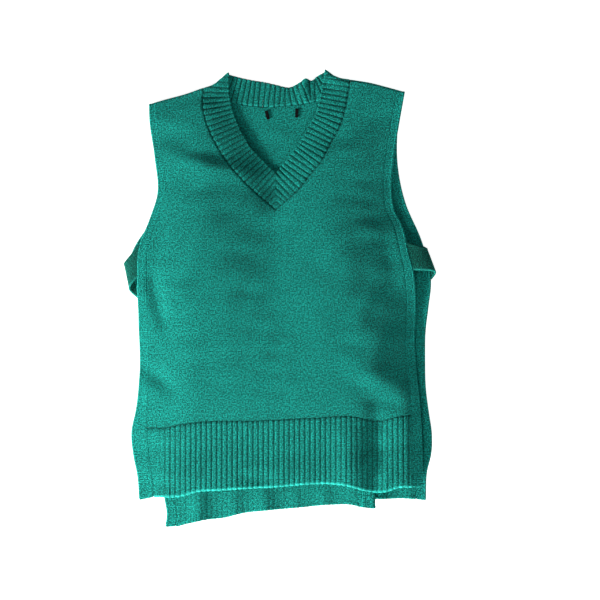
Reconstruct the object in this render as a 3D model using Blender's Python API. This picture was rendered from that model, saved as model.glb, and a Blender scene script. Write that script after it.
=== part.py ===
"""Knitted sweater vest with a ribbed V neck and open sides, laid flat on its back.

The vest is described as one sheet folded over along the shoulders: a point of the cloth is given by x and
by how far it lies from the shoulder fold, and lay() says where that point is in space. Every piece that a
maker would cut is a thin closed wall through such points, with a small gap at each seam.

X runs across the vest, Y from the hem to the neck, Z up from the surface it lies on. Lengths are in metres,
and the origin is on that surface, under the middle of the vest.
"""

import math

import bmesh
import bpy
import numpy as np

# Driving dimensions
WALL = 0.0024  # thickness of the knitted cloth
TAB_WALL = 0.0026
STUB_WALL = 0.0008
SEAM_GAP = 0.0003  # between two pieces that are sewn together
STUB_GAP = 0.0007  # between a label stub and the back
TAB_GAP = 0.0007  # between a tab and the edge it is sewn to
FOLD_RADIUS = 0.0028  # of the middle of the cloth round the shoulder fold
FOLD_ARC = FOLD_RADIUS * math.pi / 2  # cloth used by a quarter turn
MIDDLE_HEIGHT = WALL / 2 + FOLD_RADIUS  # of the fold's centre; the back lies WALL / 2 above the surface
HEM_DEPTH = 0.100
FOLD_FADE = 0.04  # rows follow the shoulder's slope within this of the fold
SEAM_FADE = 0.12  # and the hem seam's wave within this of the seam
RELIEF_START = 0.02  # creases reach their full height this far from the fold
NORMAL_STEP = 0.0002
SHARP_ANGLE = 50  # degrees; sharper edges stay crisp

# How finely the pieces are divided
HEM_ROWS = 5
FOLD_ROWS = 3
NECKBAND_COLUMNS = 3
FRONT_COLUMNS = 11  # in each half
FRONT_BODY_ROWS = 18
FRONT_NECK_ROWS = 8
BACK_COLUMNS = 8
BACK_BODY_ROWS = 13
BACK_NECK_ROWS = 7
TAB_STEPS = 12
TAB_COLUMNS = 5

# Where the cloth turns over, from the armhole to the peak beside the neck: x, y
LEFT_FOLD = (
    (-0.189, 0.279),
    (-0.165, 0.286),
    (-0.136, 0.294),
    (-0.111, 0.303),
    (-0.096, 0.308),
    (-0.085, 0.317),
    (-0.075, 0.326),
)
RIGHT_FOLD = (
    (0.067, 0.330),
    (0.076, 0.323),
    (0.086, 0.318),
    (0.103, 0.315),
    (0.133, 0.310),
    (0.156, 0.304),
    (0.181, 0.297),
)

# Open edges of the four sides, from the hem up: y, x of the edge, width of its band
FRONT_LEFT_EDGE = (
    (-0.292, -0.199, 0.020),
    (-0.257, -0.202, 0.021),
    (-0.230, -0.208, 0.022),
    (-0.196, -0.211, 0.022),
    (-0.165, -0.205, 0.016),
    (-0.110, -0.200, 0.013),
    (-0.034, -0.202, 0.013),
    (0.017, -0.204, 0.013),
    (0.073, -0.201, 0.012),
    (0.108, -0.188, 0.011),
    (0.147, -0.176, 0.011),
    (0.201, -0.180, 0.011),
    (0.256, -0.188, 0.011),
    (0.281, -0.189, 0.011),
)
FRONT_RIGHT_EDGE = (
    (-0.275, 0.204, 0.014),
    (-0.194, 0.203, 0.014),
    (-0.162, 0.201, 0.013),
    (-0.109, 0.196, 0.012),
    (-0.063, 0.194, 0.012),
    (-0.012, 0.196, 0.012),
    (0.031, 0.193, 0.012),
    (0.060, 0.186, 0.011),
    (0.105, 0.175, 0.011),
    (0.123, 0.166, 0.011),
    (0.147, 0.162, 0.011),
    (0.204, 0.165, 0.011),
    (0.247, 0.172, 0.011),
    (0.297, 0.181, 0.011),
)
BACK_LEFT_EDGE = (
    (-0.331, -0.162, 0.013),
    (-0.317, -0.160, 0.013),
    (-0.289, -0.164, 0.013),
    (-0.194, -0.173, 0.013),
    (-0.121, -0.183, 0.013),
    (-0.049, -0.195, 0.013),
    (-0.002, -0.203, 0.012),
    (0.031, -0.211, 0.011),
    (0.053, -0.215, 0.011),
    (0.078, -0.205, 0.011),
    (0.096, -0.193, 0.011),
    (0.121, -0.181, 0.011),
    (0.160, -0.175, 0.011),
    (0.212, -0.181, 0.011),
    (0.279, -0.189, 0.011),
)
BACK_RIGHT_EDGE = (
    (-0.293, 0.209, 0.013),
    (-0.253, 0.211, 0.013),
    (-0.228, 0.217, 0.013),
    (-0.198, 0.218, 0.013),
    (-0.169, 0.214, 0.013),
    (-0.136, 0.210, 0.013),
    (-0.092, 0.209, 0.013),
    (-0.050, 0.210, 0.013),
    (-0.018, 0.214, 0.012),
    (0.024, 0.218, 0.011),
    (0.053, 0.213, 0.011),
    (0.082, 0.204, 0.011),
    (0.134, 0.182, 0.011),
    (0.186, 0.171, 0.011),
    (0.244, 0.171, 0.011),
    (0.297, 0.181, 0.011),
)

# Seams between body and hem rib, and the hems themselves: x, y
FRONT_SEAM = (
    (-0.188, -0.190),
    (-0.165, -0.190),
    (-0.144, -0.186),
    (-0.115, -0.182),
    (-0.031, -0.180),
    (0.051, -0.176),
    (0.104, -0.174),
    (0.138, -0.180),
    (0.153, -0.179),
    (0.170, -0.174),
    (0.188, -0.172),
)
FRONT_HEM = (
    (-0.199, -0.292),
    (-0.186, -0.289),
    (-0.138, -0.286),
    (-0.117, -0.280),
    (-0.089, -0.278),
    (-0.020, -0.274),
    (0.099, -0.272),
    (0.126, -0.279),
    (0.141, -0.281),
    (0.153, -0.280),
    (0.167, -0.275),
    (0.204, -0.274),
)
BACK_SEAM = ((-0.172, -0.205), (0.218, -0.193))
BACK_HEM = (
    (-0.162, -0.331),
    (-0.154, -0.331),
    (-0.131, -0.326),
    (-0.108, -0.321),
    (-0.076, -0.317),
    (-0.057, -0.312),
    (-0.015, -0.307),
    (0.030, -0.303),
    (0.075, -0.299),
    (0.109, -0.300),
    (0.121, -0.304),
    (0.128, -0.303),
    (0.138, -0.292),
    (0.150, -0.291),
    (0.178, -0.290),
    (0.209, -0.293),
)

# Neckband from the V's point up to the shoulder fold, then on round the back neck to its join:
# x, y of the sewn edge, x, y of the free edge
LEFT_BAND_FRONT = (
    (-0.005, 0.124, -0.005, 0.178),
    (-0.036, 0.150, -0.012, 0.184),
    (-0.059, 0.173, -0.028, 0.200),
    (-0.078, 0.196, -0.045, 0.219),
    (-0.096, 0.227, -0.059, 0.245),
    (-0.107, 0.254, -0.069, 0.270),
    (-0.112, 0.277, -0.074, 0.293),
    (-0.111, 0.300, -0.075, 0.323),
)
RIGHT_BAND_FRONT = (
    (-0.005, 0.124, -0.005, 0.178),
    (0.028, 0.153, 0.006, 0.190),
    (0.046, 0.176, 0.020, 0.209),
    (0.062, 0.196, 0.033, 0.227),
    (0.076, 0.224, 0.045, 0.249),
    (0.089, 0.249, 0.055, 0.268),
    (0.097, 0.277, 0.061, 0.294),
    (0.103, 0.312, 0.067, 0.327),
)
LEFT_BAND_BACK = (
    (-0.111, 0.300, -0.075, 0.323),
    (-0.094, 0.291, -0.064, 0.320),
    (-0.070, 0.283, -0.052, 0.317),
    (-0.047, 0.278, -0.037, 0.314),
    (-0.025, 0.276, -0.023, 0.312),
)
RIGHT_BAND_BACK = (
    (0.103, 0.312, 0.067, 0.327),
    (0.086, 0.298, 0.056, 0.321),
    (0.066, 0.288, 0.047, 0.314),
    (0.048, 0.283, 0.038, 0.317),
    (0.031, 0.280, 0.029, 0.311),
    (0.012, 0.278, 0.014, 0.304),
    (-0.007, 0.276, -0.006, 0.308),
    (-0.025, 0.276, -0.023, 0.312),
)
FRONT_POINT = LEFT_BAND_FRONT[0]
FRONT_NECK_START = 0.120  # y on the front's side edges level with the V's point
BACK_NECK_START = 0.200
BAND_LIFT = 0.0008  # the free edge of the neckband stands this much higher on the front

# Soft ridges and troughs of the laid cloth: x and y of both ends, height, reach to each side
FRONT_CREASES = (
    (-0.150, 0.222, -0.078, 0.196, -0.0020, 0.014),
    (-0.145, 0.200, -0.066, 0.180, 0.0026, 0.014),
    (-0.170, 0.258, -0.110, 0.272, 0.0022, 0.016),
    (-0.160, 0.165, -0.090, 0.150, -0.0014, 0.016),
    (0.080, 0.222, 0.150, 0.262, -0.0030, 0.015),
    (0.002, 0.118, 0.120, 0.228, 0.0034, 0.017),
    (-0.183, 0.024, -0.168, -0.038, -0.0042, 0.011),
    (-0.192, -0.050, -0.140, 0.006, 0.0036, 0.014),
    (-0.192, -0.106, -0.160, -0.130, -0.0034, 0.011),
    (-0.190, -0.140, -0.130, -0.118, 0.0018, 0.014),
    (0.108, -0.104, 0.176, -0.138, 0.0022, 0.014),
    (0.120, -0.146, 0.170, -0.160, -0.0022, 0.011),
    (0.138, -0.170, 0.134, -0.290, -0.0070, 0.015),
    (0.180, -0.150, 0.184, -0.290, 0.0058, 0.020),
    (0.095, -0.190, 0.098, -0.280, 0.0024, 0.016),
    (-0.050, -0.262, -0.018, -0.264, -0.0018, 0.011),
    (-0.150, -0.018, -0.060, 0.042, 0.0009, 0.014),
    (-0.130, -0.060, -0.020, 0.010, -0.0008, 0.014),
    (0.020, 0.060, 0.110, 0.010, -0.0008, 0.014),
    (0.000, -0.020, 0.110, 0.050, 0.0008, 0.015),
)
BACK_CREASES = (
    (-0.022, 0.240, 0.010, 0.232, 0.0010, 0.010),
    (0.038, 0.322, 0.034, 0.296, 0.0026, 0.007),
    (-0.120, -0.345, -0.114, -0.290, 0.0040, 0.012),
    (-0.066, -0.340, -0.064, -0.290, 0.0022, 0.012),
    (-0.020, -0.335, -0.022, -0.290, 0.0036, 0.014),
    (0.022, -0.325, 0.024, -0.290, 0.0016, 0.010),
    (0.066, -0.322, 0.068, -0.290, 0.0030, 0.013),
    (0.186, -0.310, 0.186, -0.286, 0.0018, 0.010),
)
PUFF = 0.0155  # the front's middle stands this much above its sides
PUFF_KNEE = 0.18  # softness of the turn from flank to middle
LEFT_FLANK = 0.075  # width of the flank on the left
RIGHT_FLANK = (  # and on the right: y, width
    (-0.290, 0.075),
    (-0.150, 0.065),
    (-0.080, 0.060),
    (0.000, 0.092),
    (0.080, 0.104),
    (0.160, 0.120),
    (0.300, 0.150),
)
SHOULDER_FLANK = 0.110  # below the shoulder fold
NECK_FLANK = 0.130  # beside the neck opening
NECK_TIP = (-0.007, 0.186)  # foot of the neck opening: x, y
NECK_SLOPE = 1.8  # rise of the opening's sides, for each metre across
NECK_ROUND = 0.012  # radius with which the relief turns round the opening's foot
NECK_DROP = 0.0034  # the front's edge at the opening lies this much lower
NECK_DROP_REACH = 0.045  # and rises again within this of it
PUFF_AT_HEM = 0.45  # share of it left at the hem
PUFF_FADE = (-0.30, 0.16)  # y of the hem, and how far above it the fade begins
# The tabs hold the front's edges up: height, reach inwards, y of the middle, reach up and down
EDGE_LIFTS = {
    "left": (0.0040, 0.030, 0.045, 0.075),
    "right": (0.0048, 0.035, 0.052, 0.080),
}
RIGHT_DROP = 0.0022  # the rest of the right edge hangs lower
RIGHT_DROP_REACH = 0.060
# y of its middle, reach up and down, and half the height it is full for
RIGHT_DROP_PLACE = (0.060, 0.220, 0.080)
HEM_LIFT = 0.0038  # the front's hem lies on the back's waves
HEM_LIFT_START = -0.215
PLEAT_LIFT = 0.0036  # and over the back's pleat
PLEAT_LIFT_START = -0.20
PLEAT_LIFT_PLACE = (0.125, 0.070)  # x of its middle, reach to each side
HEM_RISE = 0.05  # how far below their start the two are full

# Pleat in the back's hem: the cloth doubles back on itself below the front's hem
PLEAT_START = 0.1128
PLEAT_WIDTH = 0.040
PLEAT_OVERLAP = 0.012
PLEAT_HEIGHT = 0.0066
PLEAT_FOLDS = (0.34, 0.66)  # the two turns, as shares of the width
PLEAT_TURN = 0.2  # width of each turn, as a share
# shares of the hem's depth: the overlap's start and reach, the height's reach
PLEAT_DEPTHS = (0.4, 0.4, 0.45)
COLUMN_SPACE = 0.004  # even columns keep this far from the pleat's own
PLEAT_RAMP = 0.045  # how far away the cloth starts to rise to it
PLEAT_COLUMNS = (0.1, 0.2, 0.25, 0.3, 0.34, 0.38, 0.44, 0.5, 0.56, 0.62, 0.66, 0.7, 0.75, 0.8, 0.9)

# Side tabs: y of the upper and lower edge where they meet the front band and the back band,
# then x, y of the outermost point of each edge
TABS = {
    "left": {
        "front_y": (0.073, 0.028),
        "back_y": (0.051, -0.003),
        "turn": ((-0.2235, 0.047), (-0.2165, 0.011)),
    },
    "right": {
        "front_y": (0.076, 0.038),
        "back_y": (0.071, 0.024),
        "turn": ((0.2115, 0.068), (0.2240, 0.036)),
    },
}

# Label stubs on the inside of the back: x, y of the middle, lean in degrees
STUBS = {"left": (-0.018, 0.264, 14.0), "right": (0.025, 0.267, -3.0)}
STUB_SIZE = (0.0038, 0.0125)
STUB_GRID = (4, 3)  # points along and across


def smooth(table, at, column=1):
    """Smooth curve through a table whose first column rises, straight on beyond its ends."""
    rows = np.array(table)
    knots = rows[:, 0]
    values = rows[:, column]
    slopes = np.gradient(values, knots)
    at = np.asarray(at, float)
    first = np.clip(np.searchsorted(knots, at) - 1, 0, len(knots) - 2)
    width = knots[first + 1] - knots[first]
    t = np.clip((at - knots[first]) / width, 0, 1)
    inside = (
        (1 + 2 * t) * (1 - t) ** 2 * values[first]
        + t * (1 - t) ** 2 * width * slopes[first]
        + t**2 * (3 - 2 * t) * values[first + 1]
        + t**2 * (t - 1) * width * slopes[first + 1]
    )
    before = np.minimum(at - knots[0], 0) * slopes[0]
    after = np.maximum(at - knots[-1], 0) * slopes[-1]
    return inside + before + after


def smooth_rows(table, count):
    """The table's rows read at count + 1 even steps of a smooth curve through them."""
    rows = np.array(table)
    numbered = np.column_stack([np.arange(len(rows)), rows])
    steps = np.linspace(0, len(rows) - 1, count + 1)
    return np.column_stack([smooth(numbered, steps, c + 1) for c in range(rows.shape[1])])


def ease(t):
    """0 below 0, 1 above 1, with a soft start and end."""
    t = np.clip(t, 0, 1)
    return t * t * (3 - 2 * t)


def blend(start, end, share):
    return start + (end - start) * share


def rise(t):
    """Straight slope from 0 at 0 to 1 at 1 and level beyond, with a soft turn between them."""
    return (1 + t - np.sqrt((1 - t) ** 2 + PUFF_KNEE**2)) / 2


# Shape of the laid cloth


def fold_y(x):
    return np.where(np.asarray(x) < FRONT_POINT[0], smooth(LEFT_FOLD, x), smooth(RIGHT_FOLD, x))


def fold_height(x):
    """y that the shoulder fold would have if the front were opened out flat."""
    return fold_y(x) - FOLD_RADIUS + FOLD_ARC


def creases(table, x, y):
    """Sum of the soft ridges and troughs at x, y."""
    total = np.zeros(np.broadcast(x, y).shape)
    for x0, y0, x1, y1, height, reach in table:
        length = math.hypot(x1 - x0, y1 - y0)
        along = ((x - x0) * (x1 - x0) + (y - y0) * (y1 - y0)) / length
        across = ((x - x0) * (y1 - y0) - (y - y0) * (x1 - x0)) / length
        middle = (along - length / 2) / (length / 2 + reach)
        total = total + height * np.exp(-((across / reach) ** 2)) * np.exp(-(middle**4))
    return total


def neck_distance(x, y):
    """How far a point of the front lies from the neck opening."""
    tip_x, tip_y = NECK_TIP
    aside = np.hypot(x - tip_x, NECK_ROUND) - NECK_ROUND
    distance = (NECK_SLOPE * aside - (y - tip_y)) / math.hypot(1, NECK_SLOPE)
    return np.maximum(distance, 0)


def puff(x, y, to_left, to_right):
    """Share of the front's puff at x, y: it sinks to the sides, the shoulders and the neck opening."""
    share = rise(to_left / LEFT_FLANK) * rise(to_right / smooth(RIGHT_FLANK, y))
    share = share * rise((fold_y(x) - y) / SHOULDER_FLANK) * rise(neck_distance(x, y) / NECK_FLANK)
    hem_y, reach = PUFF_FADE
    return share * blend(PUFF_AT_HEM, 1, ease((y - hem_y) / reach))


def front_relief(x, y):
    """How far the front rises above its base height."""
    relief = creases(FRONT_CREASES, x, y)
    sides = {"left": x - smooth(FRONT_LEFT_EDGE, y), "right": smooth(FRONT_RIGHT_EDGE, y) - x}
    for side, (height, inwards, middle, reach) in EDGE_LIFTS.items():
        relief = relief + height * ease(1 - sides[side] / inwards) * ease(1 - np.abs(y - middle) / reach)
    middle, reach, full = RIGHT_DROP_PLACE
    low = ease(1 - sides["right"] / RIGHT_DROP_REACH) * ease((reach - np.abs(y - middle)) / (reach - full))
    hem = ease((HEM_LIFT_START - y) / HEM_RISE)
    middle, reach = PLEAT_LIFT_PLACE
    pleat = ease((PLEAT_LIFT_START - y) / HEM_RISE) * ease(1 - np.abs(x - middle) / reach)
    neck = ease(1 - neck_distance(x, y) / NECK_DROP_REACH)
    relief = relief + HEM_LIFT * hem + PLEAT_LIFT * pleat - NECK_DROP * neck - RIGHT_DROP * low
    return relief + PUFF * puff(x, y, sides["left"], sides["right"])


def pleat_size(x, y):
    """Overlap and height of the back's pleat at x, y: none at the seam, full at the hem."""
    depth = (smooth(BACK_SEAM, x) - y) / HEM_DEPTH
    start, reach, full = PLEAT_DEPTHS
    return PLEAT_OVERLAP * ease((depth - start) / reach), PLEAT_HEIGHT * ease(depth / full)


def pleated(x, y):
    """x and rise of the back's cloth once the pleat is folded in."""
    overlap, height = pleat_size(x, y)
    share = np.clip((x - PLEAT_START) / PLEAT_WIDTH, 0, 1)
    first, second = (ease((share - turn) / PLEAT_TURN + 0.5) for turn in PLEAT_FOLDS)
    ramp = ease((x - PLEAT_START + PLEAT_RAMP) / PLEAT_RAMP)
    return x + overlap * np.sin(2 * math.pi * share), height * ramp * (1 - (first + second) / 2)


def lay(x, away):
    """Point of the middle of the cloth, by x and distance from the shoulder fold: below 0 on the back."""
    x, away = np.broadcast_arrays(np.asarray(x, float), np.asarray(away, float))
    front = away > 0
    distance = np.abs(away)
    turn = np.clip((FOLD_ARC - distance) / FOLD_RADIUS, 0, math.pi / 2)
    y = fold_y(x) - FOLD_RADIUS - np.maximum(distance - FOLD_ARC, 0) + FOLD_RADIUS * np.sin(turn)
    flat = ease((distance - FOLD_ARC) / RELIEF_START)
    pleat_x, pleat_z = pleated(x, y)
    relief = np.where(front, front_relief(x, y), creases(BACK_CREASES, x, y) + pleat_z)
    z = MIDDLE_HEIGHT + np.where(front, 1, -1) * FOLD_RADIUS * np.cos(turn) + flat * relief
    return np.stack([np.where(front, x, pleat_x), y, z], axis=-1)


def lay_normal(x, away):
    """Unit normal of the laid cloth, out of the vest."""
    across = lay(x + NORMAL_STEP, away) - lay(x - NORMAL_STEP, away)
    up = lay(x, away - NORMAL_STEP) - lay(x, away + NORMAL_STEP)
    normal = np.cross(across, up)
    return normal / np.linalg.norm(normal, axis=-1, keepdims=True)


# Rows of points, as x and unfolded height y


class Edge:
    """Rows of points down one open side, on the outer edge of its band and on the seam inside it."""

    def __init__(self, table, hem, seam, neck_start, body_rows, neck_rows):
        self.inward = 1 if table[0][1] < 0 else -1
        self.table = table
        self.outer = self.rows(0, hem, seam, neck_start, body_rows, neck_rows)
        self.inner = self.rows(1, hem, seam, neck_start, body_rows, neck_rows)

    def x(self, y, share):
        return smooth(self.table, y) + self.inward * share * smooth(self.table, y, 2)

    def rows(self, share, hem, seam, neck_start, body_rows, neck_rows):
        bottom = self.crossing(share, self.table[0][0], lambda x: smooth(hem, x))
        waist = self.crossing(share, seam[0][1], lambda x: smooth(seam, x))
        before_fold = FOLD_ARC * np.arange(FOLD_ROWS, -1, -1) / FOLD_ROWS
        fold = self.crossing(share, self.table[-1][0] - before_fold, lambda x: fold_height(x) - before_fold)
        heights = np.concatenate(
            [
                np.linspace(bottom, waist, HEM_ROWS + 1),
                np.linspace(waist, neck_start, body_rows + 1)[1:],
                np.linspace(neck_start, fold[0], neck_rows + 1)[1:],
                fold[1:],
            ]
        )
        return np.column_stack([self.x(heights, share), heights])

    def crossing(self, share, guess, curve):
        """Height at which this edge meets a curve of x, found by stepping between the two."""
        height = guess
        for _ in range(6):
            height = curve(self.x(height, share))
        return height


def fold_rows(x):
    """Rows from the start of the shoulder fold at x up to the fold itself."""
    heights = fold_height(x) - FOLD_ARC + FOLD_ARC * np.arange(1, FOLD_ROWS + 1) / FOLD_ROWS
    return np.column_stack([np.full(FOLD_ROWS, x), heights])


def neck_rows(table, count):
    """Rows of the neckband's sewn and free edges on one layer, up to the shoulder fold."""
    rows = smooth_rows(table, count)
    end = table[-1] if abs(table[-1][0]) > abs(table[0][0]) else table[0]
    sewn = fold_rows(end[0])
    free = fold_rows(end[2])
    if end is table[0]:
        rows = rows[::-1]
    return np.vstack([rows[:, :2], sewn]), np.vstack([rows[:, 2:], free])


def shifted(points, towards, distance):
    """Points moved by a distance towards other points."""
    way = towards - points
    return points + distance * way / np.linalg.norm(way, axis=1, keepdims=True)


def between(outer, inner, columns, profiles=()):
    """Grid of points between two edges. Each profile bows the rows after a curve, by a weight per row."""
    share = np.linspace(0, 1, columns + 1)
    x = blend(outer[:, :1], inner[:, :1], share)
    y = blend(outer[:, 1:], inner[:, 1:], share)
    for curve, weight in profiles:
        straight = blend(curve(outer[:, :1]), curve(inner[:, :1]), share)
        y = y + weight[:, None] * (curve(x) - straight)
    return x, y


def fold_weight(rows):
    """1 on the rows that turn over the shoulder, fading to 0 below them."""
    below = fold_height(rows[:, 0]) - rows[:, 1] - FOLD_ARC
    return ease(1 - below / FOLD_FADE)


# Solids


class Sheet:
    """Grid patches of one piece, welded where their points coincide."""

    def __init__(self):
        self.index = {}
        self.points = []
        self.quads = []

    def add(self, grid_x, grid_y, layer):
        away = layer * (fold_height(grid_x) - grid_y)
        spots = np.empty(grid_x.shape, int)
        for at in np.ndindex(grid_x.shape):
            point = (round(float(grid_x[at]), 7), round(float(away[at]), 7))
            spots[at] = self.index.setdefault(point, len(self.points))
            if spots[at] == len(self.points):
                self.points.append(point)
        for row in range(grid_x.shape[0] - 1):
            for column in range(grid_x.shape[1] - 1):
                corners = spots[row : row + 2, column : column + 2]
                self.quads.append((corners[0, 0], corners[0, 1], corners[1, 1], corners[1, 0]))


def make_material(name, color, roughness):
    material = bpy.data.materials.new(name)
    material.use_nodes = True
    shader = material.node_tree.nodes["Principled BSDF"]
    shader.inputs["Base Color"].default_value = (*color, 1)
    shader.inputs["Roughness"].default_value = roughness
    shader.inputs["Metallic"].default_value = 0.0
    return material


def add_wall(name, middle, normal, quads, thickness, material):
    """Closed wall of a thickness about a surface of quads."""
    form = bmesh.new()
    upper = [form.verts.new(p) for p in middle + normal * thickness / 2]
    lower = [form.verts.new(p) for p in middle - normal * thickness / 2]
    uses = {}
    for quad in quads:
        form.faces.new([upper[i] for i in quad])
        form.faces.new([lower[i] for i in reversed(quad)])
        for start, end in zip(quad, quad[1:] + quad[:1]):
            uses.setdefault(frozenset((start, end)), []).append((start, end))
    for edges in uses.values():
        if len(edges) == 1:
            start, end = edges[0]
            form.faces.new((upper[end], upper[start], lower[start], lower[end]))
    bmesh.ops.recalc_face_normals(form, faces=form.faces)
    mesh = bpy.data.meshes.new(name)
    form.to_mesh(mesh)
    form.free()
    mesh.shade_smooth()
    mesh.set_sharp_from_angle(angle=math.radians(SHARP_ANGLE))
    mesh.materials.append(material)
    piece = bpy.data.objects.new(name, mesh)
    bpy.context.scene.collection.objects.link(piece)
    return piece


def add_sheet(name, sheet, material, lift=None):
    x, away = np.array(sheet.points).T
    middle = lay(x, away)
    if lift is not None:
        middle[:, 2] += lift(x, away)
    return add_wall(name, middle, lay_normal(x, away), sheet.quads, WALL, material)


def grid_quads(rows, columns):
    """Quads of a grid of points numbered row by row."""
    return [
        (r * columns + c, r * columns + c + 1, (r + 1) * columns + c + 1, (r + 1) * columns + c)
        for r in range(rows - 1)
        for c in range(columns - 1)
    ]


# Pieces


class Layer:
    """The front (1) or the back (-1): its side edges, its neck edges and its centre line."""

    def __init__(self, name, side, edges, hem, seam, bands, neck_start, counts):
        self.name = name
        self.side = side
        self.hem = hem
        self.seam = seam
        self.columns, self.body_rows, self.neck_rows = counts
        self.edges = [Edge(table, hem, seam, neck_start, self.body_rows, self.neck_rows) for table in edges]
        self.necks = [neck_rows(table, self.neck_rows) for table in bands]
        start_x, start_y = bands[0][0][:2] if side > 0 else bands[0][-1][:2]
        seam_y = smooth(seam, start_x)
        hem_y = smooth(hem, start_x)
        heights = np.concatenate(
            [np.linspace(hem_y, seam_y, HEM_ROWS + 1), np.linspace(seam_y, start_y, self.body_rows + 1)[1:]]
        )
        self.centre = np.column_stack([np.full(len(heights), start_x), heights])

    def add_band(self, edge, name, material):
        """Narrow band of one open side, from the hem to the shoulder fold."""
        outer = edge.outer.copy()
        inner = edge.inner.copy()
        inner[:, 0] -= edge.inward * SEAM_GAP / 2
        outer[-1, 1] -= SEAM_GAP / 2
        inner[-1, 1] -= SEAM_GAP / 2
        sheet = Sheet()
        sheet.add(*between(outer, inner, 1), self.side)
        return add_sheet(name, sheet, material)

    def hem_profiles(self, rows):
        share = np.linspace(0, 1, rows)
        return [(lambda x: smooth(self.hem, x), 1 - share), (lambda x: smooth(self.seam, x), share)]

    def add_hem(self, name, material, extra=()):
        """Wide rib from the body's seam to the hem, with extra columns where its cloth is pleated."""
        sheet = Sheet()
        rows = HEM_ROWS + 1
        for edge in self.edges:
            outer = edge.inner[:rows].copy()
            outer[:, 0] += edge.inward * SEAM_GAP / 2
            inner = self.centre[:rows].copy()
            outer[-1, 1] -= SEAM_GAP / 2
            inner[-1, 1] -= SEAM_GAP / 2
            grid_x, grid_y = between(outer, inner, self.columns, self.hem_profiles(rows))
            if edge.inward < 0 and len(extra):
                grid_x, grid_y = self.with_columns(grid_x, grid_y, extra)
            sheet.add(grid_x, grid_y, self.side)
        return add_sheet(name, sheet, material)

    def with_columns(self, grid_x, grid_y, extra):
        """The grid with columns at the given x put in place of the even ones among them."""
        mean = grid_x.mean(axis=0)
        kept = (mean > max(extra) + COLUMN_SPACE) | (mean < min(extra) - COLUMN_SPACE)
        columns = sorted([*mean[kept], *extra], reverse=True)
        share = (columns - mean[0]) / (mean[-1] - mean[0])
        x = blend(grid_x[:, :1], grid_x[:, -1:], share)
        x_pleat = np.isin(columns, extra)
        x[:, x_pleat] = np.array(columns)[x_pleat]
        down = np.linspace(0, 1, len(grid_x))[:, None]
        y = blend(smooth(self.hem, x), smooth(self.seam, x), down)
        y[-1] -= SEAM_GAP / 2
        x[:, -1] = grid_x[:, -1]
        y[:, -1] = grid_y[:, -1]
        return x, y

    def add_panel(self, name, material):
        """Plain body from the hem rib's seam to the shoulder folds, with the neck cut out of it."""
        sheet = Sheet()
        for edge, (sewn, free) in zip(self.edges, self.necks):
            outer = edge.inner[HEM_ROWS:].copy()
            outer[:, 0] += edge.inward * SEAM_GAP / 2
            neck = shifted(sewn, free, -SEAM_GAP / 2)
            neck[0] = self.centre[-1] - (0, SEAM_GAP / 2)
            inner = np.vstack([self.centre[HEM_ROWS:-1], neck])
            outer[0, 1] += SEAM_GAP / 2
            inner[0, 1] += SEAM_GAP / 2
            outer[-1, 1] -= SEAM_GAP / 2
            inner[-1, 1] -= SEAM_GAP / 2
            seam_weight = ease(1 - (outer[:, 1] - outer[0, 1]) / SEAM_FADE)
            profiles = [(lambda x: smooth(self.seam, x), seam_weight), (fold_height, fold_weight(outer))]
            sheet.add(*between(outer, inner, self.columns, profiles), self.side)
        return add_sheet(name, sheet, material)


def add_neckband(name, front, back, shift, material):
    """Rib band from the V's point over the shoulder to the back join, its two ends shifted in x."""
    sheet = Sheet()
    for (sewn, free), layer in ((front, 1), (back, -1)):
        sewn = shifted(sewn, free, SEAM_GAP / 2)
        free = free.copy()
        sewn[0, 0] += shift
        free[0, 0] += shift
        grid_x, grid_y = between(sewn, free, NECKBAND_COLUMNS, [(fold_height, fold_weight(sewn))])
        grid_y[-1] = fold_height(grid_x[-1])
        sheet.add(grid_x, grid_y, layer)

    def lift(x, away):
        """Rises from the sewn edge to the free edge on the front."""
        y = fold_height(x) - away
        spread = front[1] - front[0]
        across = np.empty(len(x))
        for i, (px, py) in enumerate(zip(x, y)):
            offset = np.array([px, py]) - front[0]
            share = (offset * spread).sum(axis=1) / (spread**2).sum(axis=1)
            near = np.abs(offset - share[:, None] * spread).sum(axis=1).argmin()
            across[i] = np.clip(share[near], 0, 1)
        below_fold = ease((away - FOLD_ARC) / FOLD_FADE)
        return BAND_LIFT * across**2 * below_fold

    return add_sheet(name, sheet, material, lift)


def tab_edge(front_end, turn, back_end):
    """Curve from the front, out round the turn and back under to the back, level at both ends."""
    handle = (8 * np.array(turn) - front_end[:2] - back_end[:2]) / 6  # puts the curve's middle at the turn
    controls = np.array([front_end, [*handle, front_end[2]], [*handle, back_end[2]], back_end])
    t = np.linspace(0, 1, TAB_STEPS + 1)[:, None]
    return (
        (1 - t) ** 3 * controls[0]
        + 3 * (1 - t) ** 2 * t * controls[1]
        + 3 * (1 - t) * t**2 * controls[2]
        + t**3 * controls[3]
    )


def edge_point(edge, y, layer, gap):
    """Point a gap outside an open edge, at the height of its cloth."""
    x = edge.x(y, 0)
    point = lay(x, layer * (fold_height(x) - y))
    point[0] -= edge.inward * gap
    return point


def add_tab(name, tab, front_edge, back_edge, material):
    """Knitted strap that joins the front's open side to the back's."""
    share = np.linspace(0, 1, TAB_COLUMNS + 1)
    rows = []
    for across in share:
        start = edge_point(front_edge, blend(*tab["front_y"], across), 1, TAB_GAP)
        end = edge_point(back_edge, blend(*tab["back_y"], across), -1, TAB_GAP)
        end[2] = TAB_WALL / 2
        upper, lower = np.array(tab["turn"])
        rows.append(tab_edge(start, blend(upper, lower, across), end))
    middle = np.array(rows)
    normal = np.cross(np.gradient(middle, axis=0), np.gradient(middle, axis=1))
    normal /= np.linalg.norm(normal, axis=-1, keepdims=True)
    quads = grid_quads(*middle.shape[:2])
    return add_wall(name, middle.reshape(-1, 3), normal.reshape(-1, 3), quads, TAB_WALL, material)


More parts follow.
